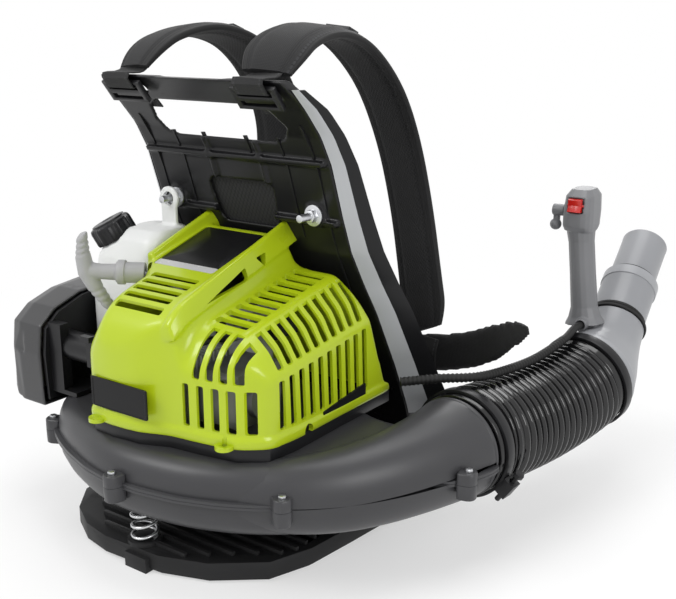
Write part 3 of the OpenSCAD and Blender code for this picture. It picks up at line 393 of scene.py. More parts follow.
@dataclass(frozen=True)
class Cloth:
    """A woven fabric, with rows of stitching where they are asked for."""

    name: str
    colour: Colour
    weave: Weave = Weave.PLAIN
    spread: Spread = Spread.UV
    pitch_mm: float = 1.4
    stitch_at: tuple[float, ...] = ()
    sheen: float = 0.25

    def make(self) -> bpy.types.Material:
        """The material."""
        sh = Shader(self.name)
        across, along = sh.across_along(self.spread)
        at = sh.place()
        k = math.pi / self.pitch_mm
        if self.weave is Weave.PLAIN:
            height = abs((across * k).sine()) * abs((along * k).sine())
        elif self.weave is Weave.SPACER:
            height = abs(((across + along * 0.58) * k).sine()) * abs(((across - along * 0.58) * k).sine())
            height = sh.ramp(height, 0.08, 0.5)
        elif self.weave is Weave.WEBBING:
            rows = abs((across * (k * 0.9)).sine())
            height = rows * (abs(((along + rows * 1.2) * k).sine()) * 0.6 + 0.4)
        else:
            height = abs(((along * 1.2 + across) * k).sine()) * 0.6 + abs(((along * 1.2 - across) * k).sine()) * 0.4
        cloud = sh.noise(at, 35.0, 5.0)
        fuzz = sh.noise(at, 700.0, 3.0)
        base = sh.tint(height * 0.8 + fuzz * 0.2, scaled(self.colour, 0.45), scaled(self.colour, 1.5))
        base = sh.tint(cloud * 0.5, base, scaled(self.colour, 0.7))
        lift = height * 0.7 + fuzz * 0.3
        for line in self.stitch_at:
            seam = (abs(abs(across) - line)).under(0.9)
            thread = seam * ((along * (math.pi / 2.6)).sine()).over(-0.55)
            base = sh.tint(thread * 0.8, base, scaled(self.colour, 3.2))
            lift = lift + thread * 1.6
        sh.set(Base_Color=base, Roughness=height * -0.1 + 0.9)
        sh.surface.inputs["Sheen Weight"].default_value = self.sheen
        sh.surface.inputs["Sheen Roughness"].default_value = 0.5
        sh.bump(lift, 0.7, 0.35)
        return sh.material


@dataclass(frozen=True)
class Milky:
    """A translucent blow-moulded plastic."""

    name: str
    colour: Colour

    def make(self) -> bpy.types.Material:
        """The material."""
        sh = Shader(self.name)
        at = sh.place()
        cloud = sh.noise(at, 20.0, 4.0)
        skin = sh.noise(at, 260.0, 3.0)
        sh.set(
            Base_Color=sh.tint(cloud, scaled(self.colour, 0.9), self.colour),
            Roughness=skin * 0.14 + 0.3,
        )
        sh.surface.inputs["Subsurface Weight"].default_value = 0.25
        sh.surface.inputs["Subsurface Radius"].default_value = (0.01, 0.01, 0.01)
        sh.bump(skin, 0.2, 0.25)
        return sh.material


@dataclass(frozen=True)
class Ground:
    """The pale studio floor: shows almost white and keeps the shadow."""

    name: str = "studio_floor"

    def make(self) -> bpy.types.Material:
        """The material."""
        sh = Shader(self.name)
        path = sh.node("ShaderNodeLightPath")
        seen = sh.ramp(path["Is Camera Ray"] + path["Is Glossy Ray"] + path["Is Transmission Ray"], 0.0, 1.0)
        spot = sh.node("ShaderNodeSeparateXYZ", None, {0: sh.place()})
        away = ((spot["X"] - 0.05) ** 2 + (spot["Y"] - 0.1) ** 2) ** 0.5
        clear = sh.ramp(away, 0.35, 1.1)
        sh.set(Base_Color=(0.9, 0.9, 0.9), Roughness=0.9)
        sh.surface.inputs["Specular IOR Level"].default_value = 0.1
        glow = sh.node("ShaderNodeEmission", None, {"Color": (1.0, 1.0, 1.0), "Strength": 1.0})[0]
        lit = Signal(sh, sh.surface.outputs[0])
        mix = sh.node("ShaderNodeMixShader", None, {0: seen * (clear * 0.5 + 0.5), 1: lit, 2: glow})[0]
        sh.feed(sh.tree.nodes["Material Output"].inputs["Surface"], mix)
        return sh.material


BLACK_SHELL = Moulded(
    "black_shell", (0.0085, 0.0085, 0.0095), roughness=0.30, grain=0.05, wear=0.3, shine=0.28
)
BLACK_TRAY = Moulded("black_tray", (0.0105, 0.0105, 0.011), roughness=0.5, grain=0.3, wear=0.5, shine=0.25)
BLACK_PART = Moulded("black_part", (0.008, 0.008, 0.009), roughness=0.36, grain=0.15, wear=0.4, shine=0.3)
COVER_BLACK = Moulded(
    "cover_black", (0.028, 0.028, 0.030), roughness=0.36, grain=0.3, grain_mm=1.2, wear=0.4, shine=0.6
)
HOUSING_GREY = Moulded("housing_grey", (0.040, 0.040, 0.043), roughness=0.38, grain=0.2, wear=0.35, shine=0.4)
LIME = Moulded(
    "lime_shroud", (0.43, 0.55, 0.008), roughness=0.3, grain=0.03, coat=0.25, wear=0.0, mottle=0.02, shine=0.4
)
# Light grey of the side bands' inner strips: partly silver trim and partly a painted highlight on the glossy black
# wings.
SILVER_TRIM_AND_HIGHLIGHT = Moulded(
    "silver_trim", (0.42, 0.43, 0.45), roughness=0.3, grain=0.06, coat=0.3, wear=0.2, mottle=0.05
)
TUBE_GREY = Moulded("tube_grey", (0.27, 0.275, 0.29), roughness=0.33, grain=0.1, wear=0.25, mottle=0.06)
HANDLE_GREY = Moulded("handle_grey", (0.17, 0.172, 0.18), roughness=0.42, grain=0.3, wear=0.3)
GRIP_GREY = Moulded("grip_grey", (0.36, 0.36, 0.365), roughness=0.5, grain=0.35, wear=0.2, mottle=0.05)
PLATE_GREY = Moulded("plate_grey", (0.007, 0.007, 0.0075), roughness=0.32, grain=0.03, wear=0.0, shine=0.2)
PANEL_SILVER = Moulded("panel_silver", (0.5, 0.5, 0.5), roughness=0.28, grain=0.05, wear=0.1, mottle=0.03)
SWITCH_RED = Moulded("switch_red", (0.55, 0.012, 0.008), roughness=0.3, grain=0.05, coat=0.4, wear=0.0)
RUBBER = Moulded("black_rubber", (0.008, 0.008, 0.008), roughness=0.6, grain=0.4, wear=0.2, shine=0.3)
HOSE_BLACK = Moulded(
    "hose_black", (0.006, 0.006, 0.0065), roughness=0.16, grain=0.02, coat=0.4, wear=0.0, shine=0.35
)
PLUG_WHITE = Moulded("plug_white", (0.75, 0.75, 0.72), roughness=0.2, grain=0.05, coat=0.5, wear=0.0)
AMBER = Moulded("amber_line", (0.6, 0.45, 0.12), roughness=0.3, grain=0.05, wear=0.0)
FOAM = Moulded(
    "filter_foam", (0.06, 0.05, 0.04), roughness=0.9, grain=1.0, grain_mm=2.0, wear=0.0, mottle=0.4
)
ZINC = Metal("zinc_steel", (0.62, 0.63, 0.65), 0.3)
SPRING = Metal("spring_steel", (0.66, 0.67, 0.68), 0.25)
CAST = Metal("cast_aluminium", (0.5, 0.51, 0.52), 0.5, cast=True)
STAMPED = Metal("muffler_steel", (0.28, 0.28, 0.29), 0.45, brushed=True)
TANK = Milky("tank_milky", (0.80, 0.81, 0.80))
PAD_CLOTH = Cloth("pad_cloth", (0.0085, 0.0085, 0.0092), Weave.PLAIN, Spread.BACK, 1.8, sheen=0.03)
PAD_MESH = Cloth("pad_spacer_mesh", (0.0075, 0.0075, 0.008), Weave.SPACER, Spread.UV, 3.0, sheen=0.03)
STRAP_CLOTH = Cloth("strap_cloth", (0.008, 0.008, 0.0088), Weave.PLAIN, Spread.UV, 1.5, (21.5,), sheen=0.03)
BINDING = Cloth("binding_tape", (0.0065, 0.0065, 0.007), Weave.WEBBING, Spread.UV, 1.6, sheen=0.05)
WEBBING = Cloth("webbing", (0.0075, 0.0075, 0.008), Weave.WEBBING, Spread.UV, 1.3, (15.5,), sheen=0.03)
PANEL_MESH = Cloth("panel_mesh", (0.012, 0.012, 0.013), Weave.SPACER, Spread.BACK, 5.2, sheen=0.03)
ROPE = Cloth("rope_braid", (0.72, 0.72, 0.70), Weave.BRAID, Spread.UV, 1.4, sheen=0.1)


# ---------------------------------------------------------------- shapes
def unit(v: Sequence[float]) -> np.ndarray:
    """The vector at length 1."""
    a = np.asarray(v, float)
    return a / np.linalg.norm(a)


def point(*v: float) -> np.ndarray:
    """A point or vector in millimetres."""
    return np.array(v, float)


def spline(points: Sequence[Sequence[float]], steps: int, closed: bool = False) -> np.ndarray:
    """A Catmull-Rom curve through points.

    Args:
        points: the points.
        steps: steps from one to the next.
        closed: whether it joins up.

    Returns:
        The curve's points.
    """
    p = np.asarray(points, float)
    n = len(p)
    out = []
    for i in range(n if closed else n - 1):
        if closed:
            a, b, c, d = p[i - 1], p[i], p[(i + 1) % n], p[(i + 2) % n]
        else:
            a, b, c, d = p[max(i - 1, 0)], p[i], p[i + 1], p[min(i + 2, n - 1)]
        for s in range(steps):
            t = s / steps
            out.append(
                0.5 * (2 * b + (c - a) * t + (2 * a - 5 * b + 4 * c - d) * t * t + (3 * b - a - 3 * c + d) * t**3)
            )
    return np.array(out if closed else out + [p[-1]])


def level(table: Sequence[Sequence[float]], at: float) -> float:
    """The table's value at a height, in straight steps."""
    t = np.asarray(table, float)
    return float(np.interp(at, t[:, 0], t[:, 1]))


def resample(path: np.ndarray, spacing: float) -> np.ndarray:
    """The path with even steps of about the given length."""
    lengths = np.concatenate([[0], np.cumsum(np.linalg.norm(np.diff(path, axis=0), axis=1))])
    count = max(2, int(round(lengths[-1] / spacing)) + 1)
    at = np.linspace(0, lengths[-1], count)
    return np.stack([np.interp(at, lengths, path[:, k]) for k in range(3)], axis=1)


def headings(path: np.ndarray) -> np.ndarray:
    """The direction of the path at each of its points."""
    d = np.gradient(path, axis=0)
    return d / np.linalg.norm(d, axis=1, keepdims=True)


def circle(radius: float, sides: int, second: float | None = None, turn: float = 0.0) -> np.ndarray:
    """A ring section, as across and up."""
    a = np.linspace(0, 2 * math.pi, sides, endpoint=False) + math.radians(turn)
    return np.stack([radius * np.cos(a), (radius if second is None else second) * np.sin(a)], axis=1)


def rounded(outline: Sequence[Sequence[float]], radius: float, steps: int = 4) -> np.ndarray:
    """An outline with its corners rounded.

    Args:
        outline: the corners in order.
        radius: how far from a corner the round starts.
        steps: points in each round.

    Returns:
        The new outline.
    """
    p = np.asarray(outline, float)
    out = []
    for i in range(len(p)):
        a, b, c = p[i - 1], p[i], p[(i + 1) % len(p)]
        la, lc = np.linalg.norm(a - b), np.linalg.norm(c - b)
        r = min(radius, la * 0.45, lc * 0.45)
        s, e = b + (a - b) / la * r, b + (c - b) / lc * r
        for k in range(steps + 1):
            t = k / steps
            out.append((1 - t) ** 2 * s + 2 * t * (1 - t) * b + t * t * e)
    return np.array(out)


def placed(profile: np.ndarray, centre: np.ndarray, ahead: np.ndarray, up: Sequence[float]) -> np.ndarray:
    """A section set square to a direction.

    Args:
        profile: across and up of each point.
        centre: the section's middle.
        ahead: the direction it is square to.
        up: its up side.

    Returns:
        The points in space.
    """
    side = unit(np.cross(up, ahead))
    over = np.cross(ahead, side)
    return centre + profile[:, :1] * side + profile[:, 1:] * over


class Solid:
    """Gathers the faces of one piece in millimetres, with a UV map in hundreds of millimetres."""

    def __init__(self, name: str) -> None:
        """Starts an empty piece."""
        self.name = name
        self.points: list[np.ndarray] = []
        self.faces: list[tuple[int, ...]] = []
        self.coords: list[tuple[tuple[float, float], ...]] = []
        self.paint: list[int] = []
        self.brush = 0

    def _face(self, corners: Sequence[int], coords: Sequence[tuple[float, float]]) -> None:
        """Adds one face in the present paint."""
        self.faces.append(tuple(corners))
        self.coords.append(tuple(coords))
        self.paint.append(self.brush)

    def skin(
        self,
        rings: Sequence[np.ndarray],
        caps: bool = True,
        closed: bool = True,
        across: Sequence[float] | None = None,
        brushes: Sequence[int] | None = None,
        looped: bool = False,
    ) -> Solid:
        """Adds a surface through rings of equal count.

        Args:
            rings: the rings in order.
            caps: whether the ends are closed.
            closed: whether each ring joins up.
            across: each ring point's place across, in mm.
            brushes: paint for each strip round the ring.
            looped: whether the last ring joins the first.

        Returns:
            The piece.
        """
        start = len(self.points)
        n, m = len(rings[0]), len(rings)
        for ring in rings:
            self.points.extend(np.asarray(ring, float))
        widest = max(rings, key=lambda r: float(np.ptp(r, axis=0).sum()))
        if across is None:
            steps = np.linalg.norm(np.roll(widest, -1, axis=0) - widest, axis=1)
            u = np.concatenate([[0], np.cumsum(steps)])
        else:
            u = np.array([*across, across[0]], float)
        centres = np.array([np.mean(r, axis=0) for r in rings])
        v = np.concatenate([[0], np.cumsum(np.linalg.norm(np.diff(centres, axis=0), axis=1))])
        if v[-1] < 1e-6:
            v = np.concatenate(
                [[0], np.cumsum([float(np.abs(rings[j + 1] - rings[j]).mean()) for j in range(m - 1)])]
            )
        kept = self.brush
        for j in range(m if looped else m - 1):
            j2 = (j + 1) % m
            vj2 = v[j2] if j2 else v[-1] + 1
            for i in range(n if closed else n - 1):
                i2 = (i + 1) % n
                if brushes is not None:
                    self.brush = brushes[i]
                quad = (start + j * n + i, start + j * n + i2, start + j2 * n + i2, start + j2 * n + i)
                uv = [(u[i], v[j]), (u[i + 1], v[j]), (u[i + 1], vj2), (u[i], vj2)]
                self._face(quad, [(a / UV_MM, b / UV_MM) for a, b in uv])
        self.brush = kept
        if caps and closed and not looped:
            for base, order in ((start, range(n - 1, -1, -1)), (start + (m - 1) * n, range(n))):
                ids = [base + i for i in order]
                self._face(ids, [(self.points[k][0] / UV_MM, self.points[k][2] / UV_MM) for k in ids])
        return self

    def lathe(
        self,
        profile: Sequence[tuple[float, float]],
        centre: Sequence[float],
        axis: Sequence[float],
        sides: int = 48,
        caps: bool = True,
        up: Sequence[float] = (0.0, 0.0, 1.0),
        looped: bool = False,
    ) -> Solid:
        """Adds a turned form.

        Args:
            profile: radius and height of each ring.
            centre: where height 0 is.
            axis: its direction.
            sides: points round it.
            caps: whether the ends are closed.
            up: any direction not along the axis.
            looped: whether the profile joins up.

        Returns:
            The piece.
        """
        ahead = unit(axis)
        if abs(float(np.dot(ahead, unit(up)))) > 0.97:
            up = (0.0, 1.0, 0.0)
        c = np.asarray(centre, float)
        rings = [placed(circle(r, sides), c + ahead * h, ahead, up) for r, h in profile]
        return self.skin(rings, caps=caps, looped=looped)

    def tube(
        self, path: np.ndarray, radius: float | Sequence[float], sides: int = 16, up: Sequence[float] = (
            0.0, 0.0, 1.0
        )
    ) -> Solid:
        """Adds a round bar along a path.

        Args:
            path: its middle line.
            radius: one radius, or one at each point.
            sides: points round it.
            up: its up side.

        Returns:
            The piece.
        """
        path = np.asarray(path, float)
        radii = [radius] * len(path) if isinstance(radius, (int, float)) else list(radius)
        ahead = headings(path)
        rings, over = [], np.asarray(up, float)
        for p, t, r in zip(path, ahead, radii):
            side = unit(np.cross(over, t))
            over = np.cross(t, side)
            rings.append(p + circle(r, sides) @ np.stack([side, over]))
        return self.skin(rings)

    def block(self, centre: Sequence[float], size: Sequence[float], turn: Matrix | None = None) -> Solid:
        """Adds a box.

        Args:
            centre: its middle.
            size: its three sides.
            turn: how it is turned.

        Returns:
            The piece.
        """
        x, y, z = (s / 2 for s in size)
        low = [(-x, -y, -z), (x, -y, -z), (x, y, -z), (-x, y, -z)]
        rings = [np.array(low), np.array([(a, b, z) for a, b, _ in low])]
        if turn is not None:
            m = np.array(turn.to_3x3())
            rings = [r @ m.T for r in rings]
        return self.skin([r + np.asarray(centre, float) for r in rings])

    def prism(self, outline: np.ndarray, low: float, high: float) -> Solid:
        """Adds an upright form from a plan outline."""
        flat = np.asarray(outline, float)
        return self.skin([np.column_stack([flat, np.full(len(flat), z)]) for z in (low, high)])

    def build(self, smooth: float = 40.0, weld: bool = True) -> bpy.types.Object:
        """Makes the object.

        Args:
            smooth: edges flatter than this many degrees are shaded smooth.
            weld: whether normals are made to face out.

        Returns:
            The object, in metres.
        """
        mesh = bpy.data.meshes.new(self.name)
        mesh.from_pydata([tuple(p * MM) for p in self.points], [], self.faces)
        layer = mesh.uv_layers.new(name="UVMap")
        flat = [c for uv in self.coords for pair in uv for c in pair]
        layer.data.foreach_set("uv", flat)
        mesh.polygons.foreach_set("material_index", self.paint)
        if weld:
            work = bmesh.new()
            work.from_mesh(mesh)
            bmesh.ops.recalc_face_normals(work, faces=work.faces)
            work.to_mesh(mesh)
            work.free()
        obj = bpy.data.objects.new(self.name, mesh)
        bpy.context.scene.collection.objects.link(obj)
        shade(obj, smooth)
        return obj


def shade(obj: bpy.types.Object, angle: float) -> None:
    """Shades an object smooth, apart from edges sharper than an angle in degrees."""
    mesh = obj.data
    mesh.polygons.foreach_set("use_smooth", [True] * len(mesh.polygons))
    mesh.set_sharp_from_angle(angle=math.radians(angle))
    mesh.update()


def settle(obj: bpy.types.Object) -> bpy.types.Object:
    """Applies an object's modifiers."""
    deps = bpy.context.evaluated_depsgraph_get()
    deps.update()
    mesh = bpy.data.meshes.new_from_object(
        obj.evaluated_get(deps), preserve_all_data_layers=True, depsgraph=deps
    )
    obj.modifiers.clear()
    old = obj.data
    obj.data = mesh
    mesh.name = obj.name
    bpy.data.meshes.remove(old)
    return obj


def modify(obj: bpy.types.Object, kind: str, **settings: Any) -> bpy.types.Object:
    """Adds one modifier and applies it.

    Args:
        obj: the object.
        kind: the modifier's type.
        settings: its settings.

    Returns:
        The object.
    """
    made = obj.modifiers.new(kind.lower(), kind)
    for key, value in settings.items():
        setattr(made, key, value)
    return settle(obj)


def carve(obj: bpy.types.Object, tool: bpy.types.Object, operation: str = "DIFFERENCE") -> bpy.types.Object:
    """Cuts an object with another, which is used up.

    Args:
        obj: what is cut.
        tool: what cuts it.
        operation: DIFFERENCE, UNION or INTERSECT.

    Returns:
        The cut object.
    """
    modify(obj, "BOOLEAN", operation=operation, object=tool, solver="EXACT")
    bpy.data.objects.remove(tool)
    return obj


def melt(obj: bpy.types.Object, voxel: float, rounds: int, factor: float = 0.5) -> bpy.types.Object:
    """Rounds every edge of a closed form, as a mould does.

    Args:
        obj: the form.
        voxel: mesh size in mm.
        rounds: how often it is smoothed.
        factor: how much each time.

    Returns:
        The rounded object.
    """
    modify(obj, "REMESH", mode="VOXEL", voxel_size=voxel * MM)
    modify(obj, "SMOOTH", iterations=rounds, factor=factor)
    shade(obj, 60)
    return obj


@dataclass
class Workshop:
    """Gives pieces their finish, their body and the solids that they stand for."""

    frame: dict[str, Any]
    made: dict[str, bpy.types.Material] = field(default_factory=dict)

    def material(self, finish: Finish) -> bpy.types.Material:
        """The material of a finish, made once."""
        if finish.name not in self.made:
            self.made[finish.name] = finish.make()
        return self.made[finish.name]

    def carry(self, node: str, finish: Finish) -> None:
        """Keeps a CAD node as it is, with a finish."""
        obj = self.frame["nodes"][node]
        obj.data.materials.clear()
        obj.data.materials.append(self.material(finish))
        LOG.info("kept %s with %s", node, finish.name)

    def copy(self, node: str, name: str | None = None) -> bpy.types.Object:
        """A clean copy of a CAD node's mesh.

        Args:
            node: the node.
            name: the copy's name.

        Returns:
            The new object, without its doubled points.
        """
        mesh = self.frame["nodes"][node].data.copy()
        mesh.materials.clear()
        work = bmesh.new()
        work.from_mesh(mesh)
        bmesh.ops.remove_doubles(work, verts=work.verts, dist=2e-5)
        bmesh.ops.dissolve_limit(work, angle_limit=math.radians(0.6), verts=work.verts, edges=work.edges)
        bmesh.ops.recalc_face_normals(work, faces=work.faces)
        work.to_mesh(mesh)
        work.free()
        for key in list(mesh.attributes.keys()):
            if key in ("custom_normal", "sharp_edge", "sharp_face"):
                mesh.attributes.remove(mesh.attributes[key])
        obj = bpy.data.objects.new(name or f"{node}_finished", mesh)
        bpy.context.scene.collection.objects.link(obj)
        return obj

    def soften(self, node: str, finish: Finish, body: str, slot: str, bevel: float = 0.6) -> bpy.types.Object:
        """Replaces a CAD node with the same form, its edges broken.

        Args:
            node: the node.
            finish: its finish.
            body: the body that it rides.
            slot: the record's material slot; not used.
            bevel: the width of the broken edge, in mm.

        Returns:
            The new piece.
        """
        obj = self.copy(node)
        if bevel:
            made = obj.modifiers.new("edges", "BEVEL")
            made.width = bevel * MM
            made.segments = 2
            made.limit_method = "ANGLE"
            made.angle_limit = math.radians(38)
            made.use_clamp_overlap = True
            made.harden_normals = False
            made.miter_outer = "MITER_ARC"
            settle(obj)
        shade(obj, 40)
        return self.fit(obj, body, slot, [finish], node)

    def fit(
        self, obj: bpy.types.Object, body: str, slot: str, finishes: Sequence[Finish], *nodes: str
    ) -> bpy.types.Object:
        """Dresses a piece and hands it to its body.

        Args:
            obj: the piece.
            body: the body that it rides.
            slot: the record's material slot; not used.
            finishes: one finish for each paint.
            nodes: the CAD nodes that it stands for.

        Returns:
            The piece.
        """
        faces = obj.data.polygons if obj.type == "MESH" else []
        paints = [face.material_index for face in faces]
        obj.data.materials.clear()
        for finish in finishes:
            obj.data.materials.append(self.material(finish))
        for face, paint in zip(faces, paints):
            face.material_index = min(paint, len(finishes) - 1)
        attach(obj, body)
        if nodes:
            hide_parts(*nodes)
        LOG.info("%s: %d faces, rides %s, finish %s", obj.name, len(faces), body, finishes[0].name)
        return obj

    def span(
        self,
        obj: bpy.types.Object,
        bodies: tuple[str, str],
        start: Sequence[float],
        end: Sequence[float],
        slot: str,
        finish: Finish,
        node: str,
    ) -> bpy.types.Object:
        """Dresses a piece that bends or stretches between two bodies.

        Args:
            obj: the piece.
            bodies: the body at each end.
            start: where it leaves the first, in mm.
            end: where it has joined the second, in mm.
            slot: the record's material slot; not used.
            finish: its finish.
            node: the CAD node that it stands for.

        Returns:
            The piece.
        """
        obj.data.materials.append(self.material(finish))
        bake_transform(obj, *bodies, start=tuple(c * MM for c in start), end=tuple(c * MM for c in end))
        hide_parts(node)
        LOG.info("%s: %d faces, between %s and %s", obj.name, len(obj.data.polygons), *bodies)
        return obj


# ---------------------------------------------------------------- frame and harness
FRONT = [(0, 150), (25, 148), (60, 140), (113, 122), (170, 102), (233, 76), (270, 58), (307, 38), (346, 23), (400, 5),
         (430, -12), (456, -35), (478, -58), (492, -74)]
HALF = [(20, 150), (125, 147), (236, 135), (270, 130), (307, 128), (477, 126), (492, 112)]
DEPTH = [(20, 52), (125, 50), (236, 40), (323, 30), (400, 28), (456, 22), (492, 16)]
SPRING_SPOTS = [(0, -146), (-104, 52), (104, 52)]


def front_y(z: float) -> float:
    """Y of the frame's front face at a height."""
    return level(FRONT, z)


@dataclass
class CarryFrame:
    """The moulded backplate with its side bands, mesh window and studs; each band's light strip is partly silver trim
    and partly a painted highlight.
    """

    shop: Workshop
    band_low: float = 108.0
    band_high: float = 476.0
    window: tuple[float, float, float] = (56.0, 313.0, 387.0)

    def side_band(self, side: int) -> bpy.types.Object:
        """One side band, curved across its width; its inner half is a light strip, partly silver trim and partly a
        painted highlight, and the rest is black shell.

        Args:
            side: 1 for the wearer's right, -1 for the left.

        Returns:
            The band.
        """
        made = Solid("silver_and_highlight_band_right" if side > 0 else "silver_and_highlight_band_left")
        rings = []
        for z in np.linspace(self.band_low, self.band_high, 60):
            w, y = level(HALF, z), front_y(z)
            d = level([(110, 40), (236, 30), (323, 24), (456, 18), (480, 10)], z)
            q = level([(110, 34), (166, 30), (238, 28), (323, 24), (456, 15), (480, 7)], z)
            a, b = np.array([w + 0.7, y + 1.0]), np.array([w + q, y + d])
            out = np.array([b[1] - a[1], -(b[0] - a[0])]) / max(1.0, np.linalg.norm(b - a))
            face = [a + (b - a) * t + out * math.sin(t * math.pi) * 2.0 for t in np.linspace(0, 1, 9)]
            back = [
                b + np.array([-2.4, 2.6]), b + np.array([-4.2, 2.9]), a + np.array([0.2, 5.0]),
                a + np.array([0.0, 3.0])
            ]
            rings.append(np.array([(p[0] * side, p[1], z) for p in face + back]))
        # Paint 0, the light inner strips, is partly silver trim and partly a painted highlight; paint 1 is black shell.
        made.skin(rings, brushes=[0, 0, 0, 0, 1, 1, 1, 1] + [1] * 5)
        return made.build(50)

    def ribs(self) -> bpy.types.Object:
        """The fine raised lines on the front face, closed forms."""
        made = Solid("frame_ribs")
        for z, x0, x1 in ((401, -124, 124), (338, 60, 124), (338, -124, -60)):
            y = front_y(z)
            made.skin([np.array([(x, y - 1.3, z - 1.2), (x, y - 1.3, z + 1.2), (x, y + 2.5, z + 1.6), (x, y + 2.5, z - 1.6)])
                       for x in np.linspace(x0, x1, 9)])
        for x, z0, z1 in (
            (-72, 318, 425), (72, 318, 425), (110, 120, 440), (-110, 120, 440), (-29, 401, 425),
            (29, 401, 425)
        ):
            made.skin([np.array([(x - 1.2, front_y(z) - 1.3, z), (x + 1.2, front_y(z) - 1.3, z),
                                 (x + 1.6, front_y(z) + 2.5, z), (x - 1.6, front_y(z) + 2.5, z)])
                       for z in np.linspace(z0, z1, 12)])
        return made.build(30)

    def mesh_window(self) -> bpy.types.Object:
        """The stretched fabric behind the lower opening."""
        half, low, high = self.window
        made = Solid("mesh_window")
        for y0, y1 in ((5.5, 6.7),):
            rings = []
            for z in np.linspace(low, high, 22):
                across = np.linspace(half, -half, 20)
                front = [(x, front_y(z) + y0 + 0.25 * math.cos(x / half * 1.57), z) for x in across]
                back = [(x, front_y(z) + y1, z) for x in across[::-1]]
                rings.append(np.array(front + back))
            made.skin(rings)
        return made.build(30)

    def build(self) -> None:
        """Makes and dresses the frame."""
        s = self.shop
        modify(shell := s.copy("back_frame"), "WELD", merge_threshold=0.02 * MM)
        s.fit(melt(shell, 1.7, 5), "frame", "black_shell", [BLACK_SHELL], "back_frame")
        s.fit(self.ribs(), "frame", "black_shell", [BLACK_SHELL])
        # Side bands: light strips that are partly silver trim and partly a painted highlight.
        for side, name in ((1, "side_trim_right"), (-1, "side_trim_left")):
            s.fit(self.side_band(side), "frame", "silver_trim", [SILVER_TRIM_AND_HIGHLIGHT, BLACK_SHELL], name)
        window = s.fit(self.mesh_window(), "frame", "mesh_fabric", [PANEL_MESH], "mesh_panel")
        s.soften("frame_bolts", ZINC, "frame", "zinc_steel", 0.5)


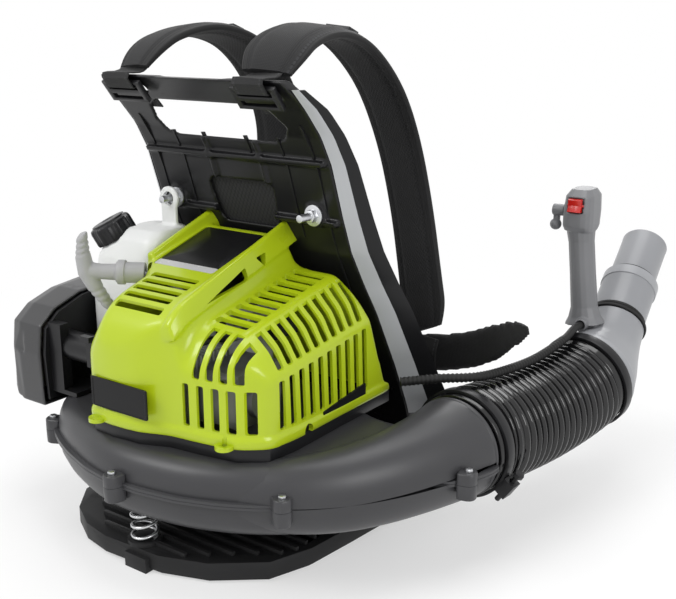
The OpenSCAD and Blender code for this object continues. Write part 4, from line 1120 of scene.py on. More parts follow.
@dataclass
class Harness:
    """The back pad, hip pad, shoulder straps, webbing and buckles."""

    shop: Workshop
    width: float = 68.0
    thick: float = 14.0
    web: float = 38.0
    route: tuple[tuple[float, float, float], ...] = (
        (90, -52, 462), (89, -44, 490), (85, -10, 517), (80, 48, 527), (77, 108, 511), (80, 160, 466), (
            86, 192, 402
        ),
        (101, 198, 328), (124, 182, 256), (146, 162, 198))

    def middle(self) -> tuple[np.ndarray, np.ndarray, np.ndarray]:
        """Points, directions and up sides along the strap.

        Returns:
            Three arrays of the same count.
        """
        path = spline(self.route, 3)[3:]
        path = resample(spline(path, 4), 5.0)
        ahead = headings(path)
        ups = []
        for p, t in zip(path, ahead):
            v = p - np.array([60.0, 40.0, 330.0])
            ups.append(unit(v - t * np.dot(v, t)))
        return path, ahead, np.array(ups)

    def strap_section(self, w: float, t: float) -> tuple[np.ndarray, list[int]]:
        """The padded strap's outline with rolled, bound edges.

        Args:
            w: width.
            t: thickness.

        Returns:
            The outline, and the paint of each strip: 0 shell, 1 lining, 2 binding.
        """
        h, r = w / 2, t * 0.22
        top = []
        for x in np.linspace(h - 2 * r - 1.5, -(h - 2 * r - 1.5), 17):
            u = abs(x) / (h - 2 * r)
            crown = t * 0.5 * (1 - 0.28 * u**4) - t * 0.16 * math.exp(-((u - 0.80) ** 2) / 0.004)
            top.append((x, crown))
        bottom = [(x, -0.86 * y) for x, y in reversed(top)]
        roll = [(h - r + r * math.cos(a), r * 1.15 * math.sin(a)) for a in np.linspace(-1.9, 1.9, 9)]
        left = [(-x, y) for x, y in reversed(roll)]
        outline = roll + top + left + bottom
        paints = [2] * len(roll) + [0] * len(top) + [2] * len(left) + [1] * len(bottom)
        return np.array(outline), paints

    def strap(self, side: int) -> bpy.types.Object:
        """One shoulder strap.

        Args:
            side: 1 right, -1 left.

        Returns:
            The strap.
        """
        path, ahead, ups = self.middle()
        made = Solid("shoulder_strap_right_padded" if side > 0 else "shoulder_strap_left_padded")
        rings, n = [], len(path)
        paints: list[int] = []
        for i, (p, t, u) in enumerate(zip(path, ahead, ups)):
            k = min(1.0, 0.25 + i / 9, 0.2 + (n - 1 - i) / 8)
            k = math.sin(k * math.pi / 2)
            outline, paints = self.strap_section(
                self.width * (0.62 + 0.38 * k), self.thick * (0.45 + 0.55 * k)
            )
            rings.append(placed(outline, p, t, u))
        if side < 0:
            rings = [r * np.array([-1, 1, 1]) for r in rings]
        across = [float(a) for a in outline[:, 0]]
        made.skin(rings, across=across, brushes=paints)
        return made.build(60)

    def ribbon(self, made: Solid, path: np.ndarray, up: Sequence[float], wide_up: bool, thick: float) -> None:
        """Adds one run of webbing.

        Args:
            made: the piece it is added to.
            path: its middle.
            up: the up side of its section.
            wide_up: whether its width lies along that side.
            thick: its thickness.
        """
        w, t = self.web / 2, thick / 2
        flat = [(w, -t * 0.4), (w, t * 0.4), (w - 0.8, t)] + [(x, t) for x in np.linspace(w - 3, -w + 3, 6)]
        flat += [(-w + 0.8, t), (-w, t * 0.4), (-w, -t * 0.4), (-w + 0.8, -t)]
        flat += [(x, -t) for x in np.linspace(-w + 3, w - 3, 6)] + [(w - 0.8, -t)]
        outline = np.array(flat)
        across = [float(a) for a in outline[:, 0]]
        if wide_up:
            outline = np.column_stack([outline[:, 1], -outline[:, 0]])
        rings = [placed(outline, p, t2, up) for p, t2 in zip(path, headings(path))]
        made.skin(rings, across=across)

    def buckle_point(self, y: float, z: float) -> tuple[float, float, float]:
        """A point in the plane of the ear buckle, off the plate and along it."""
        a = math.radians(38)
        return (
            88.0, front_y(470) - 7 + y * math.cos(a) - z * math.sin(a),
            468 + y * math.sin(a) + z * math.cos(a)
        )

    def webbing(self, side: int) -> bpy.types.Object:
        """The straps of one side, below and above the padded part.

        Args:
            side: 1 right, -1 left.

        Returns:
            The webbing.
        """
        made = Solid("webbing_right_woven" if side > 0 else "webbing_left_woven")
        low = spline([(146, 159.5, 190.5), (144, 156, 172), (139, 166.5, 141), (134, 177, 118), (128, 188.5, 84),
                      (125, 194, 64), (125, 195.3, 54), (125, 195.3, 44)], 5)
        self.ribbon(made, low, (0, 1, 0.2), False, 2.0)
        bk = self.buckle_point
        top = np.array([(89, -44.3, 489.5), (89, -48, 487.4), (89, -54, 486.2), (88.5, -64, 486.2), (88, -70.5, 486),
                        bk(-4.2, 20), bk(-4.2, 7.6), bk(-3.2, 6.5), bk(2.2, 5.5), bk(3.2, 4.4), bk(3.2, -1),
                        (88, -49.6, 466.9), (88, -42, 466.9), (88, -39.5, 465.6), (88, -31.2, 457.5), (88, -24.2, 450)])
        self.ribbon(made, top, (1, 0, 0), True, 1.6)
        obj = made.build(30)
        if side < 0:
            obj.data.transform(Matrix.Scale(-1, 4, (1, 0, 0)))
            obj.data.flip_normals()
        return obj

    def lumbar_form(self, shrink: float) -> Solid:
        """The closed form of the hip pad.

        Args:
            shrink: how much thinner than finished, in mm.

        Returns:
            The form.
        """
        line = spline([(-286, 134, 228), (-262, 156, 216), (-225, 179, 192), (-180, 186, 172), (-120, 182.5, 160),
                       (-40, 182.5, 158), (40, 182.5, 158), (120, 182.5, 160), (180, 186, 172), (
                           225, 179, 192
                       ),
                       (262, 156, 216), (286, 134, 228)], 6)
        made = Solid("hip_pad_filled")
        rings = []
        for p, t in zip(line, headings(line)):
            a = abs(p[0])
            h = level([(0, 79), (90, 77), (125, 60), (160, 56), (225, 44), (262, 32), (286, 16)], a) - 1
            w = level([(0, 15), (200, 14), (285, 7)], a) - shrink
            rings.append(placed(self.pad_section(h, w), p, t, (p[0] * 0.0035, 1, 0.46)))
        made.skin(rings)
        return made

    def pad_section(self, w: float, t: float) -> np.ndarray:
        """A flat-edged pad outline with a crown and two sewn channels."""
        h = w / 2
        top = []
        for x in np.linspace(h - 2.5, -h + 2.5, 25):
            u = abs(x) / h
            top.append((x, t * 0.5 * (1 - 0.25 * u**3) - t * 0.18 * math.exp(-((u - 0.74) ** 2) / 0.004)))
        side = [(h, t * 0.12), (h, -t * 0.12)]
        bottom = [(-x, -t * 0.45) for x, _ in top]
        return np.array(top + [(-x, y) for x, y in side] + bottom + [(x, y) for x, y in reversed(side)])

    def back_form(self, shrink: float) -> Solid:
        """The closed form of the back pad, with its two vertical columns."""
        made = Solid("back_pad_filled")
        rings = []
        for z in np.linspace(84, 313.5, 40):
            e = min(1.0, 0.45 + (z - 84) / 26, 0.45 + (313.5 - z) / 26)
            e = math.sin(e * math.pi / 2)
            y = front_y(z) + level(DEPTH, z) + 10.7
            w, t = 96 * (0.88 + 0.12 * e) - shrink, 11 * e - shrink * 0.4
            top = []
            for x in np.linspace(w * 0.97, -w * 0.97, 41):
                u = abs(x) / w
                dip = 0.42 * math.exp(-(u**2) / 0.03) + 0.5 * max(0.0, (u - 0.8) / 0.2) ** 2
                top.append((x, y + t * (1 - dip), z))
            back = [(x, y - t * 0.92, z) for x in np.linspace(-w * 0.92, w * 0.92, 21)]
            rings.append(np.array([(w, y - t * 0.2, z)] + top + [(-w, y - t * 0.2, z)] + back))
        made.skin(rings)
        return made

    def inflate(self, obj: bpy.types.Object, cap: float, voxel: float = 5.0) -> bpy.types.Object:
        """Blows a pad up with the cloth solver.

        Args:
            obj: the closed form.
            cap: the most a point may move, in mm.
            voxel: mesh size in mm.

        Returns:
            The pad.
        """
        modify(obj, "REMESH", mode="VOXEL", voxel_size=voxel * MM)
        before = np.array([v.co[:] for v in obj.data.vertices])
        made = obj.modifiers.new("cloth", "CLOTH")
        made.settings.use_pressure = True
        made.settings.uniform_pressure_force = 4.0
        made.settings.effector_weights.gravity = 0.0
        made.point_cache.frame_start, made.point_cache.frame_end = 1, 20
        for frame_number in range(1, 21):
            bpy.context.scene.frame_set(frame_number)
        settle(obj)
        bpy.context.scene.frame_set(1)
        after = np.array([v.co[:] for v in obj.data.vertices])
        move = after - before
        size = np.linalg.norm(move, axis=1, keepdims=True)
        move *= np.minimum(1.0, cap * MM / np.maximum(size, 1e-9))
        obj.data.vertices.foreach_set("co", (before + move).ravel())
        modify(obj, "SUBSURF", levels=1, render_levels=1)
        shade(obj, 80)
        return obj

    def build(self) -> None:
        """Makes and dresses the harness."""
        s = self.shop
        for side, word in ((1, "right"), (-1, "left")):
            strap = s.fit(self.strap(side), "frame", "padded_fabric", [STRAP_CLOTH, PAD_MESH, BINDING],
                          f"shoulder_strap_{word}")
            s.fit(self.webbing(side), "frame", "webbing", [WEBBING], f"webbing_{word}")
        for form, node in ((self.lumbar_form(2.0), "lumbar_pad"), (self.back_form(1.0), "back_pad")):
            pad = self.inflate(form.build(80), 2.5)
            s.fit(pad, "frame", "padded_fabric", [PAD_CLOTH], node)
        s.soften("ear_buckles", BLACK_PART, "frame", "black_acetal", 0.8)
        s.soften("strap_sliders", BLACK_PART, "frame", "black_acetal", 0.6)


@dataclass
class BaseSprings:
    """The ribbed base tray and its three isolator springs."""

    shop: Workshop
    wire: float = 1.7
    coil: float = 13.0
    low: float = 26.0
    high: float = 61.9
    turns: int = 4

    def springs(self) -> bpy.types.Object:
        """The three coil springs.

        Returns:
            One object with three coils.
        """
        made = Solid("isolator_coils")
        for x, y in SPRING_SPOTS:
            path = []
            for k in range(self.turns * 32 + 1):
                f = k / (self.turns * 32)
                a = f * self.turns * 2 * math.pi
                climb = float(np.interp(f, [0, 0.2, 0.8, 1], [0, 0.05, 0.95, 1]))
                z = self.low + self.wire + (self.high - self.low - 2 * self.wire) * climb
                path.append((x + self.coil * math.cos(a), y + self.coil * math.sin(a), z))
            made.tube(np.array(path), self.wire, 12)
        return made.build(60)

    def build(self) -> None:
        """Makes and dresses the base."""
        s = self.shop
        s.soften("base_plate", BLACK_TRAY, "frame", "black_shell", 0.8)
        s.span(self.springs(), ("frame", "power_unit"), (0, 0, self.low), (0, 0, self.high), "spring_steel", SPRING,
               "isolator_springs")


# ---------------------------------------------------------------- fan housing
FORM = [(-186, -86), (-171, -113), (-147, -137), (-119, -153), (-90, -166), (-45, -181), (-8, -187), (32, -186),
        (78, -178), (119, -163), (152, -145), (180, -123), (202, -93), (222, -64), (240, -34), (255, -8), (267, 18),
        (275, 36), (272, 50), (258, 58), (232, 58), (200, 54), (168, 54), (140, 64), (118, 82), (86, 100), (48, 111),
        (8, 114), (-38, 106), (-86, 86), (-128, 54), (-158, 14), (-178, -26), (-187, -58)]
INNER = [(-155, -77), (-146, -94), (-128, -112), (-105, -125), (-79, -137), (-38, -151), (-6, -156), (29, -155),
         (70, -148), (106, -135), (135, -119), (158, -101), (177, -75), (196, -47), (213, -18), (225, -2), (232, 8),
         (236, 15), (237, 21), (233, 26), (222, 27), (202, 23), (163, 23), (125, 37), (100, 56), (74, 71), (42, 80),
         (10, 83), (-29, 76), (-70, 59), (-106, 32), (-132, -2), (-149, -37), (-156, -62)]
FLANGE = [(-186, -86), (-171, -113), (-147, -137), (-119, -153), (-90, -166), (-45, -181), (-8, -187), (32, -186),
          (78, -178), (119, -163), (152, -145), (180, -123), (202, -93), (222, -64), (240, -34), (255, -8), (272, 2),
          (288, 28), (294, 50), (295, 66), (180, 66), (176, 52), (160, 50), (140, 62), (118, 82), (86, 100), (48, 111), (8, 114),
          (-38, 106), (-86, 86), (-128, 54), (-158, 14), (-178, -26), (-187, -58)]
BOSSES = [
    (-156, -129), (6, -190), (172, -133), (284.5, 17), (150, 62), (50, 108.4), (-72, 96), (-150, 28),
    (-187, -72)
]
DUCT = point(237, 66, 108)
DUCT_WAY = unit((0.10, 1, 0))
AXIS = (20.0, -25.0)


@dataclass
class FanHousing:
    """The two halves of the fan housing, screwed together along a flange, with the outlet duct."""

    shop: Workshop
    split: float = 102.0
    wall: float = 3.0

    def walls(self) -> list[tuple[float, float]]:
        """Height and inset of each ring of the shell's outside."""
        return [(62, 31), (62.3, 27), (63.4, 23), (65.5, 18.5), (69, 14), (74, 10), (80, 7.4), (88, 6), (96, 5.6), (102, 5.5),
                (108, 5.6), (114, 6.2), (120, 7.6), (126, 10.2), (130.5, 14), (133.8, 18.5), (135.6, 23), (136, 27)]

    def shell(self, upper: bool) -> bpy.types.Object:
        """One half of the scroll.

        Args:
            upper: whether it is the top half.

        Returns:
            The half.
        """
        made = Solid("housing_top" if upper else "housing_bottom")
        form, inner = spline(FORM, 4, True), spline(INNER, 4, True)
        rows = [w for w in self.walls() if (w[0] >= self.split if upper else w[0] <= self.split)]
        rings = [np.column_stack([form + (inner - form) * (q / 31), np.full(len(form), z)]) for z, q in rows]
        made.skin(rings, caps=False)
        edge = rings[-1] if upper else rings[0]
        hole, z = (13.0, 136.0) if upper else (60.0, 62.0)
        mid = np.array([*AXIS])
        angles = np.arctan2(edge[:, 1] - mid[1], edge[:, 0] - mid[0])
        lip = np.column_stack(
            [mid[0] + hole * np.cos(angles), mid[1] + hole * np.sin(angles), np.full(len(edge), z)]
        )
        turned = lip + np.array([0, 0, -3.0 if upper else 3.0])
        made.skin([edge, edge + (lip - edge) * 0.5, lip, turned], caps=False)
        return made.build(60)

    def duct(self, upper: bool) -> bpy.types.Object:
        """One half of the outlet duct with its spigot.

        Args:
            upper: whether it is the top half.

        Returns:
            The half.
        """
        made = Solid("duct_top" if upper else "duct_bottom")
        line = [
            (120, -128, 100), (160, -103, 101), (190, -70, 102), (211, -32, 104), (225, 6, 106),
            (233, 38, 107.5)
        ]
        line += [tuple(DUCT - DUCT_WAY * 2), tuple(DUCT + DUCT_WAY * 2)]
        path = spline(line, 5)
        ahead = headings(path)
        ahead[-6:] = DUCT_WAY
        arc = np.linspace(0, math.pi, 33) if upper else np.linspace(math.pi, 2 * math.pi, 33)
        rings = []
        for i, (p, t) in enumerate(zip(path, ahead)):
            f = min(1.0, i / 30)
            a, b = 26 + 27 * f, 33 + 20 * f**0.8
            half = np.stack([a * np.cos(arc), b * np.sin(arc)], axis=1)
            ring = placed(half, p, t, (0, 0, 1))
            ring[:, 2] = np.maximum(ring[:, 2], self.split) if upper else np.minimum(ring[:, 2], self.split)
            rings.append(ring)
        for h, r in ((3, 53.7), (6, 53.7), (7, 52.9), (7.2, 50), (35.4, 50), (36, 49.4), (36, 47), (0, 47)):
            half = np.stack([r * np.cos(arc), r * np.sin(arc)], axis=1)
            rings.append(placed(half, DUCT + DUCT_WAY * h, DUCT_WAY, (0, 0, 1)))
        made.skin(rings, caps=False, closed=False)
        return made.build(35)

    def trim(self, upper: bool) -> bpy.types.Object:
        """The flange rim and screw tabs of one half, with edges broken.

        Args:
            upper: whether it is the top half.

        Returns:
            The rim.
        """
        z0 = self.split + 0.15 if upper else self.split - 3
        z1 = self.split + 3 if upper else self.split - 0.15
        rim = Solid("flange_top" if upper else "flange_bottom")
        rim.prism(rounded(FLANGE, 9, 3), z0, z1)
        body = rim.build(30)
        hollow = Solid("hollow")
        hollow.prism(
            rounded([(a + (b - a) * 0.36, c + (d - c) * 0.36) for (a, c), (b, d) in zip(FORM, INNER)], 6, 2),
            80, 120
        )
        carve(body, hollow.build(40))
        bore = Solid("bore")
        bore.lathe([(50.2, -50), (50.2, 60)], DUCT, DUCT_WAY, 64)
        carve(body, bore.build(40))
        tabs = Solid("tabs")
        mid = np.array([30.0, -34.0])
        for x, y in BOSSES:
            low, high = (self.split + 0.15, self.split + 12) if upper else (
                self.split - 16, self.split - 0.15
            )
            out = unit((x - mid[0], y - mid[1]))
            side = np.array([-out[1], out[0]])
            plan = [(-10, -9.5), (2, -9), (6, -6.5), (8, -3), (8, 3), (6, 6.5), (2, 9), (-10, 9.5)]
            flat = rounded([np.array([x, y]) + out * a + side * b for a, b in plan], 3, 3)
            core = np.array([x, y])
            rows = [(0.9, high), (1.0, high - 1.0), (1.03, low)] if upper else [
                (1.03, high), (1.0, low + 1.0), (0.9, low)
            ]
            tabs.skin([np.column_stack([core + (flat - core) * k, np.full(len(flat), z)]) for k, z in rows])
        block = tabs.build(40)
        joined = bmesh.new()
        joined.from_mesh(body.data)
        joined.from_mesh(block.data)
        joined.to_mesh(body.data)
        joined.free()
        bpy.data.objects.remove(block)
        modify(body, "BEVEL", width=0.6 * MM, segments=2, limit_method="ANGLE", angle_limit=math.radians(40))
        shade(body, 40)
        return body

    def build(self) -> None:
        """Makes and dresses the housing."""
        s = self.shop
        for upper, node in ((True, "volute_upper"), (False, "volute_lower")):
            shell = s.fit(self.shell(upper), "power_unit", "dark_grey_housing", [HOUSING_GREY], node)
            shade(shell, 60)
            s.fit(self.duct(upper), "power_unit", "dark_grey_housing", [HOUSING_GREY])
            s.fit(self.trim(upper), "power_unit", "dark_grey_housing", [HOUSING_GREY])
        seats = Solid("spring_seats")
        for x, y in SPRING_SPOTS:
            seats.lathe([(13, 61.8), (15.4, 61.9), (16, 63), (16, 84)], (x, y, 0), (0, 0, 1), 40)
        seats.lathe([(20, 62.6), (20, 64.6), (17, 64.6), (17, 62.6)], (*AXIS, 0), (0, 0, 1), 48, looped=True)
        seats.lathe([(41, 62.6), (41, 64.6), (38, 64.6), (38, 62.6)], (*AXIS, 0), (0, 0, 1), 64, looped=True)
        for k in range(6):
            a = math.radians(15 + 60 * k)
            seats.block(
                (AXIS[0] + 39.7 * math.cos(a), AXIS[1] + 39.7 * math.sin(a), 63.6), (44.5, 3, 2),
                Matrix.Rotation(a, 4, "Z")
            )
        s.fit(seats.build(40), "power_unit", "dark_grey_housing", [HOUSING_GREY])
        s.soften("flange_screws", ZINC, "power_unit", "zinc_steel", 0.3)
        s.soften("engine_collar", BLACK_PART, "power_unit", "dark_grey_housing", 0.5)


@dataclass
class Engine:
    """The engine inside the shroud."""

    shop: Workshop
    metals: tuple[tuple[str, str, str], ...] = (
        ("crankcase", "cast", ""), ("cylinder", "cast", ""), ("carburettor", "cast", ""), (
            "main_bearings", "bright", ""
        ),
        ("crankshaft", "bright", ""), ("flywheel", "cast", ""), ("connecting_rod", "bright", ""),
        ("wrist_pin", "bright", ""), ("piston", "bright", ""), ("throttle_arm", "bright", ""),
        ("recoil_spring", "bright", ""), ("muffler", "stamped", ""))

    def build(self) -> None:
        """Dresses the inner pieces."""
        finishes = {"cast": CAST, "bright": SPRING, "stamped": STAMPED}
        for node, kind, _ in self.metals:
            self.shop.carry(node, finishes[kind])
        for node in ("ignition_coil", "intake_manifold", "impeller", "filter_base", "starter_housing", "rope_pulley",
                     "choke_lever"):
            self.shop.carry(node, BLACK_PART)
        self.shop.carry("spark_plug", PLUG_WHITE)
        self.shop.carry("air_filter", FOAM)


# ---------------------------------------------------------------- shroud and starter
EXIT = point(-60, -80, 283)
PULL = unit((-0.80, -0.60, 0.04))


@dataclass
class Shroud:
    """The bright engine cover with its rows of slots and its two bare plates."""

    shop: Workshop
    wall: float = 2.5
    slot: float = 7.0
    low: float = 150.0
    plan: tuple[tuple[float, float], ...] = (
        (-62, 84), (-62, -60), (-61, -148), (-52, -160), (-22, -163), (14, -160), (44, -148), (80, -144), (120, -137),
        (146, -117), (150, -78), (149, -10), (150, 84))

    def nose(self, y: float, start: float, radius: float) -> float:
        """How far the top has curved down towards the front."""
        t = min(max(0.0, start - y), radius * 0.99)
        return radius - math.sqrt(radius**2 - t**2)

    def crown(self, y: float) -> float:
        """Height of the raised middle."""
        return 264 + (y + 172) * 0.296 - self.nose(y, -124, 38)

    def shoulder(self, y: float) -> float:
        """Height of the right shoulder."""
        return 242 + (y + 172) * 0.208 - self.nose(y, -106, 36)

    def ledge(self, y: float) -> float:
        """Height of the ledge under the shoulder."""
        return 209 + (y + 172) * 0.125

    def section(self, y: float, d: float) -> np.ndarray:
        """The outline across the cover, moved in by d."""
        c, r, g = self.crown(y), self.shoulder(y), self.ledge(y)
        k = level([(-90, 1), (-64, 0)], y)
        pts = [(-66 + d, 120), (-66 + d, c - 12 - 36 * k), (-58 + d * 0.7 + 22 * k, c - d), (49 - d * 0.6, c - d), (58 - d, c - 14),
               (62 - d, r + 5 - d), (70 - d, r + 1 - d), (112 - d * 0.6, r - d), (
                   133 - d, r + (g - r) * 0.45 - d * 0.6
               ),
               (147 - d, g), (151 - d, 120)]
        return np.array([(x, y, z) for x, z in pts])

    def form(self, d: float, low: float) -> bpy.types.Object:
        """The closed form of the cover.

        Args:
            d: how far its faces are moved in.
            low: its lower end.

        Returns:
            The form.
        """
        p = np.array(self.plan, float)
        e = np.roll(p, -1, axis=0) - p
        e /= np.linalg.norm(e, axis=1, keepdims=True)
        m = e + np.roll(e, 1, axis=0)
        m /= np.linalg.norm(m, axis=1, keepdims=True)
        inward = np.stack([-m[:, 1], m[:, 0]], axis=1)
        area = float(np.sum(p[:, 0] * np.roll(p[:, 1], -1) - np.roll(p[:, 0], -1) * p[:, 1]))
        plan = rounded(p + inward * d * (1 if area > 0 else -1), 9, 4)
        base = Solid("engine_cover")
        base.prism(plan, low, 400)
        obj = base.build(20)
        roof = Solid("roof")
        roof.skin([self.section(y, d) for y in (-178, -165, -161, -156, -150, -144, -138, -131, -124, -115, -106, -90, -64, 95)])
        carve(obj, roof.build(20), "INTERSECT")
        wedge = Solid("wedge")
        side = [(86 - d, 130), (23 - d, 322), (23 - d, 420), (220, 420), (220, 100), (96 - d, 100)]
        wedge.skin([np.array([(x, y, z) for y, z in side]) for x in (-200, 260)])
        return carve(obj, wedge.build(20))

    def slit(self, tool: Solid, centre: Sequence[float], long_way: Sequence[float], through: Sequence[float], length: float,
             width: float, depth: float) -> None:
        """Adds one cutter with rounded corners.

        Args:
            tool: what it is added to.
            centre: its middle.
            long_way: the direction of its length.
            through: the direction that it cuts in.
            length: overall length.
            width: its width.
            depth: how deep it cuts, about its middle.
        """
        h, w = length / 2, width / 2
        outline = rounded([(-h, -w), (h, -w), (h, w), (-h, w)], 2.4, 3)
        c, t, u = np.asarray(centre, float), unit(through), unit(long_way)
        side = np.cross(t, u)
        rings = [c + t * k + outline[:, :1] * u + outline[:, 1:] * side for k in (-depth / 2, depth / 2)]
        tool.skin(rings)

    def slits(self) -> bpy.types.Object:
        """All slots as one cutter."""
        tool = Solid("slits")
        for i in range(5):
            y = -139 + i * 12.4
            self.slit(tool, (2, y, self.crown(y)), (1, 0, 0), (0, 0, 1), 63, 7.6, 40)
        for i in range(9):
            y = -98.5 + i * 14.5
            self.slit(tool, (87, y, self.shoulder(y)), (1, 0, 0), (0, 0, 1), 40, 8.8, 32)
        for i in range(10):
            y = -100 + i * 15
            top = self.ledge(y) - 5
            self.slit(tool, (142, y, (165 + top) / 2), (0, 0, 1), (1, 0, 0), top - 165, 8.2, 60)
        for i in range(10):
            y = -97 + i * 14.2
            lo, hi = self.ledge(y) + 4, self.shoulder(y) + 5
            self.slit(tool, (145, y, (lo + hi) / 2), (0, 0, 1), (1, 0, 0), hi - lo, 8.6, 58)
        for i, (x, w) in enumerate(((66, 7.4), (82.5, 8), (99, 8.8), (115.5, 9.6), (132, 9.8))):
            self.slit(tool, (x, -144, 185.5), (0, 0, 1), (0, 1, 0), 43, w, 84)
        for i, (x, w, hi) in enumerate(((78, 8.5, 262), (93, 9, 262), (108, 9.4, 260), (123, 9.8, 252))):
            self.slit(tool, (x, -147, (213 + hi) / 2), (0, 0, 1), (0, 1, 0), hi - 213, w, 72)
        return tool.build(20)

    def windows(self) -> bpy.types.Object:
        """The two three-cornered windows in the outer face of the right rail, as one cutter."""
        tool = Solid("windows")
        for tri in (((-104, 273.5), (-44, 298), (-44, 285)), ((-27, 304.5), (-12, 308), (-17, 294))):
            flat = rounded(tri, 2.5, 3)
            tool.skin([np.array([(x, y, z) for y, z in flat]) for x in (44, 76)])
        return tool.build(20)

    def rails(self) -> bpy.types.Object:
        """The two raised rails beside the plate, closed forms."""
        made = Solid("rails")
        for inner, outer, slope in ((-49, -62, -62), (42, 52, 60)):
            rings = []
            for y in (-150, -144, -138, -131, -124, -100, -66, -10, 46):
                if inner < 0 and y < -70:
                    continue
                up = 2.0 + 9.0 * (y + 150) / 196
                z = self.crown(y)
                mid = (inner + outer) / 2
                crest = 3.2 if outer > 0 else -3.2
                rings.append(np.array([(inner, y, z - 3), (mid - crest * 0.4, y, z + up), (outer, y, z + up), (slope, y, z - 14), (inner, y, z - 14)]))
            made.skin(rings)
        return made.build(20)

    def openings(self) -> bpy.types.Object:
        """The rope exit, the intake side, the service hole and the screw notch, as one cutter."""
        tool = Solid("openings")
        tool.lathe([(11.5, -14), (11.5, 26)], EXIT, PULL, 48)
        tool.lathe([(6.5, 0), (6.5, 20)], (140, -65, 153), (1, 0, 0), 40)
        tool.lathe([(3, 0), (3, 30)], (110, -142, 140), (0, 0, 1), 32)
        tool.block((-65, -89, 186), (30, 66, 72))
        return tool.build(20)

    def plates(self) -> None:
        """The bare plates in their recesses."""
        made = Solid("front_plate")
        flat = rounded([(-46.5, 166), (32, 166), (32, 197), (-46.5, 197)], 2.5, 4)
        rings = []
        mid = flat.mean(axis=0)
        for k, y in ((1.0, -162.6), (1.0, -163.9), (0.985, -164.3), (0.93, -164.3), (0.915, -163.8)):
            rings.append(
                np.array([(mid[0] + (x - mid[0]) * k, y, mid[1] + (z - mid[1]) * k) for x, z in flat])
            )
        made.skin(rings)
        s = self.shop
        s.fit(made.build(30), "power_unit", "badge_grey", [PLATE_GREY], "badge_plates")
        top = Solid("top_plate")
        outline = rounded([(-47, -60), (35, -60), (35, 13), (-47, 13)], 4, 4)
        mid = outline.mean(axis=0)
        rings = []
        for k, lift in ((1.0, 0.0), (1.0, 1.2), (0.985, 1.6), (0.3, 1.7)):
            rings.append(np.array([(mid[0] + (x - mid[0]) * k, mid[1] + (y - mid[1]) * k,
                                    (mid[1] + (y - mid[1]) * k) * 0.296 + 312.95 + lift) for x, y in outline]))
        top.skin(rings)
        s.fit(top.build(30), "power_unit", "badge_grey", [PLATE_GREY])
        side = Solid("side_plate")
        flat = rounded([(-40, 152.5), (34, 152.5), (34, 172), (-40, 163)], 2, 3)
        side.skin([np.array([(x, y, z) for y, z in flat]) for x in (148.5, 150.7)])
        s.fit(side.build(30), "power_unit", "badge_grey", [PLATE_GREY])
        strip = Solid("silver_strip")
        band = rounded([(-47, -70), (35, -70), (35, -60.5), (-47, -60.5)], 2, 3)
        strip.skin([np.array([(x, y, y * 0.296 + 312.95 + lift) for x, y in band]) for lift in (0, 1.5)])
        s.fit(strip.build(30), "power_unit", "badge_grey", [PANEL_SILVER])

    def build(self) -> None:
        """Makes and dresses the cover."""
        outer = melt(self.form(0, 140), 2.4, 40)
        carve(outer, self.rails(), "UNION")
        lip, band = self.form(-2.2, 140), Solid("lip_band")
        band.block((50, -40, 155), (400, 400, 9))
        carve(outer, carve(lip, band.build(20), "INTERSECT"), "UNION")
        melt(outer, 1.8, 7)
        carve(outer, self.form(self.wall + 0.8, 130))
        carve(outer, self.slits())
        carve(outer, self.windows())
        carve(outer, self.openings())
        cut = Solid("cut")
        cut.block((50, 0, 100), (600, 600, 100))
        flat = rounded([(-48, 164.5), (33.5, 164.5), (33.5, 198.5), (-48, 198.5)], 3, 4)
        cut.skin([np.array([(x, y, z) for x, z in flat]) for y in (-175, -161.6)])
        carve(outer, cut.build(20))
        top = Solid("cut")
        plan = rounded([(-48, -71), (36, -71), (36, 14), (-48, 14)], 4, 4)
        top.skin([np.array([(x, y, y * 0.296 + 312.9 + lift) for x, y in plan]) for lift in (0, 20)])
        carve(outer, top.build(20))
        ears = Solid("ears")
        for x, y in ((110, -142), (-40, -164)):
            arc = [(x + 9 * math.cos(a), y + 9 * math.sin(a)) for a in np.linspace(math.pi, 2 * math.pi, 15)]
            ears.prism(np.array([*arc, (x + 9, y + 3), (x - 9, y + 3)]), 150, 154)
        screw = Solid("hole")
        screw.lathe([(3, 140), (3, 170)], (110, -142, 0), (0, 0, 1), 32)
        lug = ears.build(40)
        carve(lug, screw.build(40))
        shade(outer, 35)
        self.shop.fit(outer, "power_unit", "lime_shroud", [LIME], "shroud")
        self.shop.fit(lug, "power_unit", "lime_shroud", [LIME])
        self.plates()


